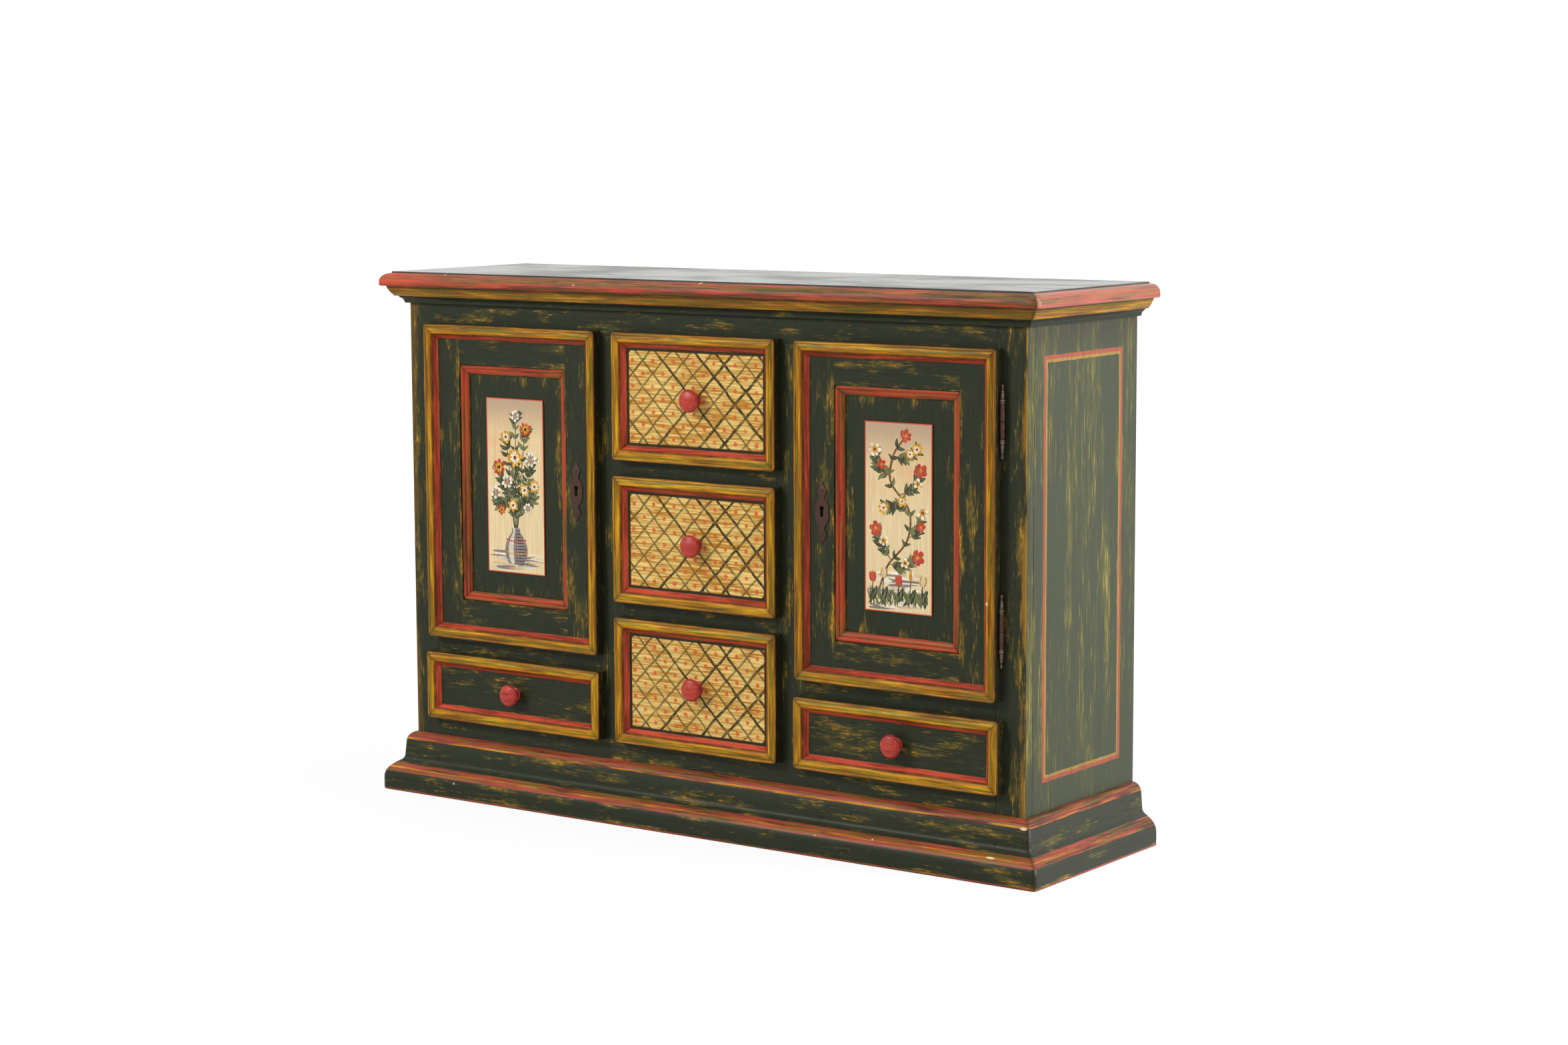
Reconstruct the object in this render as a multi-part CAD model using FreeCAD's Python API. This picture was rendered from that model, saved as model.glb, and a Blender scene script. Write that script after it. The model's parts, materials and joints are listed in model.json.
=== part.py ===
# Painted credenza: two panelled doors, a shallow drawer under each, and three deep drawers between them.
# Millimetres. +Z is up, +X is to the right seen from the front, and the front faces -Y.
# The origin is on the floor, under the middle of the whole piece.
import FreeCAD, Part
import os

# Overall sizes
HEIGHT = 1000.0
CARCASS_WIDTH = 1370.0
CARCASS_DEPTH = 368.0
PLINTH_REACH = 49.0
NOSING_REACH = 45.0
TOP_FIELD_REACH = 24.0
CORNICE_REACH = 33.0
TOP_THICKNESS = 27.0
CORNICE_HEIGHT = 33.0
NOSING_CORNER = 12.0
CORNICE_CORNER = 3.0
PLINTH_CORNER = 6.0

# Boards of the carcass
SIDE_THICKNESS = 20.0
BOARD_THICKNESS = 18.0
BACK_THICKNESS = 8.0
BACK_REBATE = 10.0
BACK_BOARDS = 6
BACK_BOARD_GAP = 0.8
BACK_FOOT = 20.0
DADO_DEPTH = 6.0
BOTTOM_BOARD_TOP = 137.0
CUPBOARD_FLOOR_TOP = 311.0

# Face frame: the openings lie between these edges
FRAME_THICKNESS = 22.0
OUTER_STILE_EDGE = 625.0
INNER_STILE_OUTER_EDGE = 232.0
INNER_STILE_INNER_EDGE = 171.0
FRAME_FOOT = 30.0
OPENINGS_TOP = 893.0
OPENINGS_BOTTOM = 157.0
DOOR_OPENING_BOTTOM = 315.0
SMALL_OPENING_TOP = 265.0
DRAWER_RAIL = 48.0
TENON_LENGTH = 25.0
TENON_THICKNESS = 8.0
TENON_SHOULDER = 10.0

# Doors and drawer fronts: outer edges of the lips that overlap the face frame
DOOR_INNER = 222.0
DOOR_OUTER = 635.0
DOOR_BOTTOM = 305.0
DOOR_TOP = 903.0
SMALL_INNER = 219.0
SMALL_OUTER = 641.0
SMALL_BOTTOM = 146.0
SMALL_TOP = 275.0
DEEP_HALF_WIDTH = 182.0
DEEP_HEIGHT = 233.0
DEEP_GAP = 28.0
LIP_BACK = 0.8
LIP_FACE = 8.5
INSET_CLEARANCE = 1.5

# Door make-up; heights are in front of the carcass front, and negative ones are behind it
DOOR_BACK = -16.0
STILE_WIDTH = 78.0
RAIL_WIDTH = 75.0
GROOVE_DEPTH = 10.0
PANEL_EDGE_GAP = 1.0
PANEL_BACK = -8.5
PANEL_MARGIN = -3.2
PANEL_BEVEL_TOP = -1.7
PANEL_FIELD = 0.8
BEAD_WIDTH = 17.5
BEVEL_WIDTH = 42.0
GROOVE_FIT = 0.05

# Drawer boxes
DRAWER_FRONT_BACK = -14.0
DRAWER_END = -345.0
DRAWER_SIDE = 12.0
DRAWER_TOP_CLEARANCE = 8.0
DRAWER_BOTTOM_RISE = 9.0
DRAWER_BOTTOM_THICKNESS = 6.0
DRAWER_GROOVE = 5.0
DRAWER_BACK_INSET = 8.0
TAIL_LENGTH = 10.0
TAIL_NARROW = 9.0
TAIL_WIDE = 12.5
TAIL_PITCH = 62.0
RUNNER_GAP = 0.3
RUNNER_THICKNESS = 21.0
RUNNER_LEDGE = 24.0
GUIDE_HEIGHT = 20.0
GUIDE_GAP = 0.7

# Hinges: barrel hinges beside the outer edge of each door
HINGE_X = 640.5
HINGE_PROUD = 7.5
HINGE_FROM_MIDDLE = 177.0
BARREL_RADIUS = 4.75
BARREL_HALF = 34.5
BARREL_GAP = 0.15
PIN_RADIUS = 2.5
PIN_FIT = 0.02
PIN_RUNNING_FIT = 0.05
PIN_BELOW = 30.0
PIN_ABOVE = 25.0
PIN_END_GAP = 1.0
LEAF_THICKNESS = 2.0
LEAF_HEIGHT = 26.0
LEAF_FROM_MIDDLE = 5.0
LEAF_DEPTH = 22.0
DOOR_LEAF_PROUD = 5.0

# Locks and escutcheons
KEYHOLE_X = 275.0
KEYHOLE_RADIUS = 4.3
KEYHOLE_RISE = 7.4
SLOT_HALF_WIDTH = 2.9
SLOT_DROP = 7.5
PLATE_THICKNESS = 1.6
PLATE_HALF_HEIGHT = 54.5
PLATE_HALF_WIDTH = 15.3
PLATE_OVAL_HALF_HEIGHT = 24.0
PLATE_LOBE_RADIUS = 7.2
PLATE_NAIL_RISE = 39.5
PLATE_WAIST = 4.2
NAIL_RADIUS = 1.0
NAIL_HEAD_SECTION = [(0, 0), (2.4, 0), ((1.8, 0.8), (0.4, 1.2)), (0, 1.2)]
NAIL_LENGTH = 9.0
LOCK_LENGTH = 54.0
LOCK_HEIGHT = 64.0
LOCK_FRONT = -4.5
LOCK_PLATE = 2.0
LOCK_PLATE_HEIGHT = 76.0
BOLT_LENGTH = 36.0
BOLT_HEIGHT = 12.0
BOLT_THICKNESS = 6.0
BOLT_RISE = 8.0
BOLT_BACK = -13.2
BOLT_THROW = 9.5
BOLT_CLEARANCE = 0.4
BOLT_SETBACK = 0.5
BOLT_NOTCH = 8.0
STRIKE_DEPTH = 11.5

# Shelves
SHELF_TOP = 612.0
SHELF_FRONT = -60.0
SHELF_CLEARANCE = 1.5
SHELF_BACK_GAP = 4.0
PIN_PEG_RADIUS = 3.5
PEG_IN_BOARD = 8.0
PEG_OUT = 12.0
PEG_FROM_END = 55.0
PEG_GAP = 0.05

# Sections of the mouldings and turned pieces, as (reach, height) points.
# A pair of points is an arc through the first to the second.
MITRE_HEIGHT = 20.0
FRAME_MOULDING_WIDTH = 28.0
FRAME_MOULDING = [
    (0, 0), (0, 10.4), ((2.8, 13.2), (5.6, 11.8)), (6.2, 11), ((12.2, 14), (18.8, 11)), (19.4, 10.2), (20, 10),
    (27, 1.2), (28, 0.8), (28, 0),
]
BEAD_SECTION = [
    (0, 0), (0, 8.2), ((3.9, 9.5), (8, 7.2)), (8.5, 6.6), ((13.8, 5.4), (17, 2.6)), (17.5, 2.4), (17.5, 0),
]
PLINTH_SECTION = [
    (0, 0), (47, 0), ((48.4, 0.8), (49, 3)), (49, 24.5), ((46.7, 35.6), (41.4, 44)), ((34, 50.4), (27, 55)),
    ((22, 59.4), (20, 66)), (17.4, 96.5), ((13.2, 105), (5.6, 110.2)), (0, 111),
]
CORNICE_SECTION = [
    (0, 0), (7.6, 0), (8.2, 2), ((10.2, 6.6), (14.4, 10.2)), (15.6, 10.6), (15.6, 13), (22.4, 13.6),
    (22.8, 15.2), ((29, 23.4), (33, 33)), (0, 33),
]
NOSING_SECTION = [
    (24, 0), (43, 0), ((44.4, 0.6), (45, 2)), (45, 8), ((41.2, 18), (31.5, 23.4)), (24, 24.6),
]
FINIAL_SECTION = [
    (0, 0), (4, 0), ((5, 1.4), (4, 2.8)), (2.9, 3.6), ((3.4, 9), (2.5, 14.5)), ((3.3, 16.2), (2.4, 17.8)),
    (1.6, 18.6), (1.5, 24), ((2.6, 26.6), (0.5, 28.9)), (0, 28.9),
]
KNOB_SECTION = [
    (0, -14), (5, -14), (5, 0), (12.6, 0), ((13.5, 1.7), (12.2, 3.4)), (9.4, 4.2), ((7.4, 9.5), (10.5, 15.5)),
    (19, 18.6), ((20.9, 20.6), (19.6, 22.4)), ((11, 27.2), (1, 28.8)), (0, 28.8),
]

# Places that follow from the sizes above
FRONT = PLINTH_REACH - (CARCASS_DEPTH + PLINTH_REACH) / 2
BACK = FRONT + CARCASS_DEPTH
HALF_WIDTH = CARCASS_WIDTH / 2
TOP_UNDERSIDE = HEIGHT - TOP_THICKNESS
INSIDE_FRONT = FRONT + FRAME_THICKNESS
INSIDE_BACK = BACK - BACK_THICKNESS
PARTITION_MIDDLE = (INNER_STILE_OUTER_EDGE + INNER_STILE_INNER_EDGE) / 2
PARTITION_INNER = PARTITION_MIDDLE - SIDE_THICKNESS / 2
PARTITION_OUTER = PARTITION_MIDDLE + SIDE_THICKNESS / 2
SIDE_INNER = HALF_WIDTH - SIDE_THICKNESS
DOOR_MIDDLE = (DOOR_BOTTOM + DOOR_TOP) / 2
TENON_BACK = -(FRAME_THICKNESS + TENON_THICKNESS) / 2
DOOR_INSET = (
    INNER_STILE_OUTER_EDGE + INSET_CLEARANCE,
    OUTER_STILE_EDGE - INSET_CLEARANCE,
    DOOR_OPENING_BOTTOM + INSET_CLEARANCE,
    OPENINGS_TOP - INSET_CLEARANCE,
)
SIDES = {"left": -1, "right": 1}

V = FreeCAD.Vector


def box(x0, x1, y0, y1, z0, z1):
    """A box between two corners."""
    return Part.makeBox(x1 - x0, y1 - y0, z1 - z0, V(x0, y0, z0))


def slab(x0, x1, back, face, z0, z1):
    """A box whose depth is given as heights in front of the carcass front."""
    return box(x0, x1, FRONT - face, FRONT - back, z0, z1)


def on_side(shape, side):
    """A piece drawn for the right half, or its mirror image for the left half."""
    if side > 0:
        return shape
    return shape.mirror(V(0, 0, 0), V(1, 0, 0))


def both_sides(shape):
    return [on_side(shape, side) for side in SIDES.values()]


def cut_all(shape, tools):
    return shape.cut(Part.makeCompound(tools)) if tools else shape


def join(shapes):
    return shapes[0].multiFuse(shapes[1:]).removeSplitter()


def section_face(points, place):
    """A flat face from a section's points, with place turning a pair of numbers into a point in space."""
    here = points[0]
    edges = []
    for step in points[1:] + points[:1]:
        if isinstance(step[0], tuple):
            middle, end = step
            edges.append(Part.Arc(place(*here), place(*middle), place(*end)).toShape())
        else:
            end = step
            edges.append(Part.LineSegment(place(*here), place(*end)).toShape())
        here = end
    return Part.Face(Part.Wire(edges))


def turned(points, foot, axis, start):
    """A turned piece: the section's reach is its radius along start, its height runs along axis from foot."""
    face = section_face(points, lambda reach, height: foot + start * reach + axis * height)
    return face.revolve(foot, axis, 360)


def prism(points, run):
    """A flat polygon of points in space, pushed along run."""
    return Part.Face(Part.makePolygon(points + points[:1])).extrude(run)


def moulded_frame(x0, x1, z0, z1, base, points, width):
    """Four mitred strips round a rectangle on the front, with the section's reach running inwards."""
    y_base = FRONT - base
    corners = [V(x0, 0, z0), V(x1, 0, z0), V(x1, 0, z1), V(x0, 0, z1)]
    inwards = [V(0, 0, 1), V(-1, 0, 0), V(0, 0, -1), V(1, 0, 0)]
    forward = V(0, -1, 0)
    lift = V(0, y_base, 0)
    strips = []
    for index, inward in enumerate(inwards):
        start = corners[index] + lift
        end = corners[(index + 1) % 4] + lift
        along = (end - start).normalize()
        face = section_face(points, lambda reach, rise: start + inward * reach + forward * rise)
        strip = face.extrude(end - start)
        inner_start = start + (inward + along) * width
        inner_end = end + (inward - along) * width
        mitre = prism([start, end, inner_end, inner_start], forward * MITRE_HEIGHT)
        strips.append(strip.common(mitre))
    return strips


def rounded_block(reach, bottom, top, corner):
    """A block round the carcass whose two front corners are rounded, seen from above."""
    front = FRONT - reach
    block = box(-HALF_WIDTH - reach, HALF_WIDTH + reach, front, BACK, bottom, top)
    upright = [edge for edge in block.Edges if edge.BoundBox.ZLength > 1 and edge.BoundBox.YMax < front + 1]
    return block.makeFillet(corner, upright)


def skirt(points, bottom, reach, top, corner, inner=0.0):
    """Front, left and right strips of a moulding round the carcass, mitred and with rounded corners."""
    rise = V(0, 0, top - bottom)
    inner_x = HALF_WIDTH + inner
    outer_x = HALF_WIDTH + reach
    inner_y = FRONT - inner
    outer_y = FRONT - reach
    front_face = section_face(points, lambda out, height: V(-outer_x, FRONT - out, bottom + height))
    inner_corner = V(inner_x, inner_y, bottom)
    outer_corner = V(outer_x, outer_y, bottom)
    front_plan = [V(-inner_x, inner_y, bottom), inner_corner, outer_corner, V(-outer_x, outer_y, bottom)]
    front_mitre = prism(front_plan, rise)
    rounded = rounded_block(reach, bottom, top, corner)
    front = front_face.extrude(V(2 * outer_x, 0, 0)).common(front_mitre).common(rounded)
    side_face = section_face(points, lambda out, height: V(HALF_WIDTH + out, outer_y, bottom + height))
    side_plan = [inner_corner, outer_corner, V(outer_x, BACK, bottom), V(inner_x, BACK, bottom)]
    side_mitre = prism(side_plan, rise)
    right = side_face.extrude(V(0, BACK - outer_y, 0)).common(side_mitre).common(rounded)
    return {"front": front, "left": on_side(right, -1), "right": right}


def top_pieces():
    reach = HALF_WIDTH + TOP_FIELD_REACH
    board = box(-reach, reach, FRONT - TOP_FIELD_REACH, BACK, TOP_UNDERSIDE, HEIGHT)
    nosing = skirt(NOSING_SECTION, TOP_UNDERSIDE, NOSING_REACH, HEIGHT, NOSING_CORNER, TOP_FIELD_REACH)
    return {"top_board": board, "top_nosing": list(nosing.values())}


def skirt_pieces():
    cornice_bottom = TOP_UNDERSIDE - CORNICE_HEIGHT
    cornice = skirt(CORNICE_SECTION, cornice_bottom, CORNICE_REACH, TOP_UNDERSIDE, CORNICE_CORNER)
    plinth = skirt(PLINTH_SECTION, 0.0, PLINTH_REACH, PLINTH_SECTION[-1][1], PLINTH_CORNER)
    return {
        "cornice": list(cornice.values()),
        "plinth_front": plinth["front"],
        "plinth_returns": [plinth["left"], plinth["right"]],
    }


def rail_with_tenons(x0, x1, z0, z1):
    """A rail of the face frame and the two tenons on its ends."""
    low, high = z0 + TENON_SHOULDER, z1 - TENON_SHOULDER
    tenons = []
    for start, end in ((x0 - TENON_LENGTH, x0), (x1, x1 + TENON_LENGTH)):
        tenons.append(slab(start, end, TENON_BACK, TENON_BACK + TENON_THICKNESS, low, high))
    body = slab(x0, x1, -FRAME_THICKNESS, 0, z0, z1)
    return join([body] + tenons), tenons


def stile_with_tenons(x0, x1, z0, z1):
    """An inner stile of the face frame and the tenons on its two ends."""
    low, high = x0 + TENON_SHOULDER, x1 - TENON_SHOULDER
    tenons = []
    for start, end in ((z0 - TENON_LENGTH, z0), (z1, z1 + TENON_LENGTH)):
        tenons.append(slab(low, high, TENON_BACK, TENON_BACK + TENON_THICKNESS, start, end))
    body = slab(x0, x1, -FRAME_THICKNESS, 0, z0, z1)
    return join([body] + tenons), tenons


def deep_drawer_bottoms():
    """Lower edges of the three deep drawer fronts, from the top one down."""
    return [DOOR_TOP - DEEP_HEIGHT - index * (DEEP_HEIGHT + DEEP_GAP) for index in range(3)]


def strike_pocket():
    """The hole in the inner stile that takes the bolt of the right lock."""
    bolt_bottom = DOOR_MIDDLE + BOLT_RISE - 2 * BOLT_CLEARANCE
    return slab(
        INNER_STILE_OUTER_EDGE - STRIKE_DEPTH,
        INNER_STILE_OUTER_EDGE,
        BOLT_BACK - 2 * BOLT_CLEARANCE,
        BOLT_BACK + BOLT_THICKNESS + 2 * BOLT_CLEARANCE,
        bolt_bottom,
        bolt_bottom + BOLT_HEIGHT + 4 * BOLT_CLEARANCE,
    )


def face_frame():
    across = (-OUTER_STILE_EDGE, OUTER_STILE_EDGE)
    top_rail, top_tenons = rail_with_tenons(*across, OPENINGS_TOP, TOP_UNDERSIDE)
    bottom_rail, bottom_tenons = rail_with_tenons(*across, FRAME_FOOT, OPENINGS_BOTTOM)
    inner_stile, stile_tenons = stile_with_tenons(
        INNER_STILE_INNER_EDGE, INNER_STILE_OUTER_EDGE, OPENINGS_BOTTOM, OPENINGS_TOP
    )
    door_rail, door_tenons = rail_with_tenons(
        INNER_STILE_OUTER_EDGE, OUTER_STILE_EDGE, SMALL_OPENING_TOP, DOOR_OPENING_BOTTOM
    )
    drawer_rails = []
    drawer_tenons = []
    for bottom in deep_drawer_bottoms()[:2]:
        rail_middle = bottom - DEEP_GAP / 2
        rail, tenons = rail_with_tenons(
            -INNER_STILE_INNER_EDGE,
            INNER_STILE_INNER_EDGE,
            rail_middle - DRAWER_RAIL / 2,
            rail_middle + DRAWER_RAIL / 2,
        )
        drawer_rails.append(rail)
        drawer_tenons.extend(tenons)
    outer_stile = slab(OUTER_STILE_EDGE, HALF_WIDTH, -FRAME_THICKNESS, 0, 0, TOP_UNDERSIDE)
    leaf_slots = [frame_leaf(height) for height in hinge_heights()]
    outer_stile = cut_all(outer_stile, top_tenons + bottom_tenons + door_tenons + leaf_slots)
    inner_stile = cut_all(inner_stile, door_tenons + drawer_tenons + [strike_pocket()])
    stile_mortises = [on_side(tenon, side) for tenon in stile_tenons for side in SIDES.values()]
    long_rails = [cut_all(rail, stile_mortises) for rail in (top_rail, bottom_rail)]
    return {
        "face_frame_stiles": both_sides(outer_stile) + both_sides(inner_stile),
        "face_frame_rails": long_rails + drawer_rails + both_sides(door_rail),
    }


def carcass_boards():
    bottom = box(
        -SIDE_INNER - DADO_DEPTH,
        SIDE_INNER + DADO_DEPTH,
        INSIDE_FRONT,
        INSIDE_BACK,
        BOTTOM_BOARD_TOP - BOARD_THICKNESS,
        BOTTOM_BOARD_TOP,
    )
    floor = box(
        PARTITION_OUTER - DADO_DEPTH,
        SIDE_INNER + DADO_DEPTH,
        INSIDE_FRONT,
        INSIDE_BACK,
        CUPBOARD_FLOOR_TOP - BOARD_THICKNESS,
        CUPBOARD_FLOOR_TOP,
    )
    rebate = box(SIDE_INNER, SIDE_INNER + BACK_REBATE, INSIDE_BACK, BACK, 0, TOP_UNDERSIDE)
    pegs = shelf_pegs()
    side = box(SIDE_INNER, HALF_WIDTH, INSIDE_FRONT, BACK, 0, TOP_UNDERSIDE)
    side = cut_all(side, [bottom, floor, rebate] + pegs)
    partition = box(
        PARTITION_INNER, PARTITION_OUTER, INSIDE_FRONT, INSIDE_BACK, BOTTOM_BOARD_TOP, TOP_UNDERSIDE
    )
    partition = cut_all(partition, [floor] + pegs)
    shelf = box(
        PARTITION_OUTER + SHELF_CLEARANCE,
        SIDE_INNER - SHELF_CLEARANCE,
        FRONT - SHELF_FRONT,
        INSIDE_BACK - SHELF_BACK_GAP,
        SHELF_TOP - BOARD_THICKNESS,
        SHELF_TOP,
    )
    back_width = 2 * (SIDE_INNER + BACK_REBATE) / BACK_BOARDS
    back_left = -SIDE_INNER - BACK_REBATE
    back_boards = []
    for index in range(BACK_BOARDS):
        left = back_left + index * back_width
        back_boards.append(
            box(left, left + back_width - BACK_BOARD_GAP, INSIDE_BACK, BACK, BACK_FOOT, TOP_UNDERSIDE)
        )
    return {
        "left_side": on_side(side, -1),
        "right_side": side,
        "partitions": both_sides(partition),
        "bottom_board": bottom,
        "cupboard_floors": both_sides(floor),
        "shelves": both_sides(shelf),
        "shelf_pins": [peg for one in pegs for peg in both_sides(one)],
        "back_boards": back_boards,
    }


def shelf_pegs():
    """Four pegs under the right shelf, half in the boards and half out."""
    pegs = []
    height = SHELF_TOP - BOARD_THICKNESS - PIN_PEG_RADIUS - PEG_GAP
    for y in (FRONT - SHELF_FRONT + PEG_FROM_END, INSIDE_BACK - PEG_FROM_END):
        for x in (PARTITION_OUTER - PEG_IN_BOARD, SIDE_INNER - PEG_OUT):
            start = V(x, y, height)
            pegs.append(Part.makeCylinder(PIN_PEG_RADIUS, PEG_IN_BOARD + PEG_OUT, start, V(1, 0, 0)))
    return pegs


def hinge_heights():
    return [DOOR_MIDDLE + HINGE_FROM_MIDDLE, DOOR_MIDDLE - HINGE_FROM_MIDDLE]


def frame_leaf(height):
    """The flat leaf that goes straight back from the barrel into the face frame, below the hinge's middle."""
    top = height - LEAF_FROM_MIDDLE
    half = LEAF_THICKNESS / 2
    depth = LEAF_THICKNESS - LEAF_DEPTH
    return slab(HINGE_X - half, HINGE_X + half, depth, HINGE_PROUD, top - LEAF_HEIGHT, top)


def door_leaf(height):
    """The flat leaf that goes sideways from the barrel into the door's lip, above the hinge's middle."""
    bottom = height + LEAF_FROM_MIDDLE
    half = LEAF_THICKNESS / 2
    return slab(
        HINGE_X - LEAF_DEPTH - BARREL_RADIUS,
        HINGE_X,
        DOOR_LEAF_PROUD - half,
        DOOR_LEAF_PROUD + half,
        bottom,
        bottom + LEAF_HEIGHT,
    )


def knuckle(height, up, leaf, bore_radius, bore_depth):
    """Half of a barrel hinge: barrel, finial and leaf in one piece, bored for the pin."""
    axis = V(0, 0, up)
    middle = V(HINGE_X, FRONT - HINGE_PROUD, height)
    barrel = Part.makeCylinder(BARREL_RADIUS, BARREL_HALF - BARREL_GAP, middle + axis * BARREL_GAP, axis)
    finial = turned(FINIAL_SECTION, middle + axis * BARREL_HALF, axis, V(1, 0, 0))
    bore = Part.makeCylinder(bore_radius, bore_depth, middle, axis)
    return join([barrel, finial, leaf]).cut(bore)


def frame_hinge_pieces():
    knuckles = []
    pins = []
    for height in hinge_heights():
        lower = knuckle(height, -1, frame_leaf(height), PIN_RADIUS + PIN_FIT, PIN_BELOW)
        foot = V(HINGE_X, FRONT - HINGE_PROUD, height - PIN_BELOW)
        pin = Part.makeCylinder(PIN_RADIUS, PIN_BELOW + PIN_ABOVE, foot, V(0, 0, 1))
        knuckles.extend(both_sides(lower))
        pins.extend(both_sides(pin))
    return {"hinge_frame_halves": knuckles, "hinge_pins": pins}


def keyhole(back, face):
    """The keyhole as a solid: a round above a straight slot."""
    middle = V(KEYHOLE_X, FRONT - face, DOOR_MIDDLE + KEYHOLE_RISE)
    round_part = Part.makeCylinder(KEYHOLE_RADIUS, face - back, middle, V(0, 1, 0))
    slot = slab(
        KEYHOLE_X - SLOT_HALF_WIDTH,
        KEYHOLE_X + SLOT_HALF_WIDTH,
        back,
        face,
        DOOR_MIDDLE - SLOT_DROP,
        DOOR_MIDDLE + KEYHOLE_RISE,
    )
    return join([round_part, slot])


def escutcheon():
    """The iron plate round the keyhole and its two nails."""
    plate_face = LIP_FACE + PLATE_THICKNESS
    back_y = FRONT - LIP_FACE
    run = V(0, -PLATE_THICKNESS, 0)
    middle = V(KEYHOLE_X, back_y, DOOR_MIDDLE)
    oval_top = middle + V(0, 0, PLATE_OVAL_HALF_HEIGHT)
    oval_side = middle + V(PLATE_HALF_WIDTH, 0, 0)
    oval = Part.Face(Part.Wire(Part.Ellipse(oval_top, oval_side, middle).toShape())).extrude(run)
    pieces = [oval]
    nails = []
    for up in (1, -1):
        nail_z = DOOR_MIDDLE + up * PLATE_NAIL_RISE
        tip = V(KEYHOLE_X, back_y, DOOR_MIDDLE + up * PLATE_HALF_HEIGHT)
        shoulder_z = nail_z + up * PLATE_WAIST
        seat = V(KEYHOLE_X, back_y, nail_z)
        lobe = Part.makeCylinder(PLATE_LOBE_RADIUS, PLATE_THICKNESS, seat, V(0, -1, 0))
        left = V(KEYHOLE_X - PLATE_WAIST, back_y, shoulder_z)
        right = V(KEYHOLE_X + PLATE_WAIST, back_y, shoulder_z)
        foot_left = V(KEYHOLE_X - PLATE_WAIST, back_y, DOOR_MIDDLE)
        foot_right = V(KEYHOLE_X + PLATE_WAIST, back_y, DOOR_MIDDLE)
        pieces += [lobe, prism([left, tip, right, foot_right, foot_left], run)]
        nails.append(nail(nail_z, plate_face))
    plate = join(pieces).cut(keyhole(LIP_FACE, plate_face))
    return [cut_all(plate, nails)] + nails


def nail(height, plate_face):
    """A round-headed nail through the plate into the stile."""
    seat = V(KEYHOLE_X, FRONT - plate_face, height)
    shank = Part.makeCylinder(NAIL_RADIUS, NAIL_LENGTH, seat, V(0, 1, 0))
    head = turned(NAIL_HEAD_SECTION, seat, V(0, -1, 0), V(1, 0, 0))
    return join([shank, head])


def lock_pieces():
    """The lock case let into the back of the lock stile, and its bolt, drawn back."""
    edge = DOOR_INSET[0]
    shells = []
    for length, height in ((LOCK_LENGTH, LOCK_HEIGHT), (LOCK_PLATE, LOCK_PLATE_HEIGHT)):
        low, high = DOOR_MIDDLE - height / 2, DOOR_MIDDLE + height / 2
        shells.append(slab(edge, edge + length, DOOR_BACK, LOCK_FRONT, low, high))
    body = join(shells)
    start = edge + BOLT_SETBACK
    end = start + BOLT_LENGTH
    low = DOOR_MIDDLE + BOLT_RISE
    high = low + BOLT_HEIGHT
    face = BOLT_BACK + BOLT_THICKNESS
    bolt = slab(start, end, BOLT_BACK, face, low, high)
    notch = slab(end - 2 * BOLT_NOTCH, end - BOLT_NOTCH, BOLT_BACK, face, low, low + BOLT_NOTCH / 2)
    channel = slab(
        edge,
        end + BOLT_THROW,
        BOLT_BACK - BOLT_CLEARANCE,
        face + BOLT_CLEARANCE,
        low - BOLT_CLEARANCE,
        high + BOLT_CLEARANCE,
    )
    hollow = [channel, keyhole(BOLT_BACK, LOCK_FRONT)]
    return body, cut_all(body, hollow), bolt.cut(notch)


def door_frame_tenons(opening):
    """Tenons of the two rails, in front of the panel groove."""
    left, right, bottom, top = opening
    back = PANEL_MARGIN + LIP_BACK
    tenons = {"bottom": [], "top": []}
    for name, z0, z1 in (("bottom", DOOR_BOTTOM, bottom), ("top", top, DOOR_TOP)):
        for x0, x1 in ((left - TENON_LENGTH, left), (right, right + TENON_LENGTH)):
            tenons[name].append(
                slab(x0, x1, back, back + TENON_THICKNESS, z0 + 2 * TENON_SHOULDER, z1 - TENON_SHOULDER)
            )
    return tenons


def door_panel(opening):
    """The raised panel: a tongue in the groove, a flat margin, a bevel and a square step up to the field."""
    left, right, bottom, top = opening
    tongue = GROOVE_DEPTH - PANEL_EDGE_GAP
    board = slab(left - tongue, right + tongue, PANEL_BACK, PANEL_MARGIN, bottom - tongue, top + tongue)

    def ring(inset, height):
        y = FRONT - height
        x0, x1, z0, z1 = left + inset, right - inset, bottom + inset, top - inset
        return Part.makePolygon([V(x0, y, z0), V(x1, y, z0), V(x1, y, z1), V(x0, y, z1), V(x0, y, z0)])

    field_inset = BEAD_WIDTH + BEVEL_WIDTH
    bevel = Part.makeLoft([ring(BEAD_WIDTH, PANEL_MARGIN), ring(field_inset, PANEL_BEVEL_TOP)], True, True)
    field = slab(
        left + field_inset,
        right - field_inset,
        PANEL_MARGIN,
        PANEL_FIELD,
        bottom + field_inset,
        top - field_inset,
    )
    return join([board, bevel, field])


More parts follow.
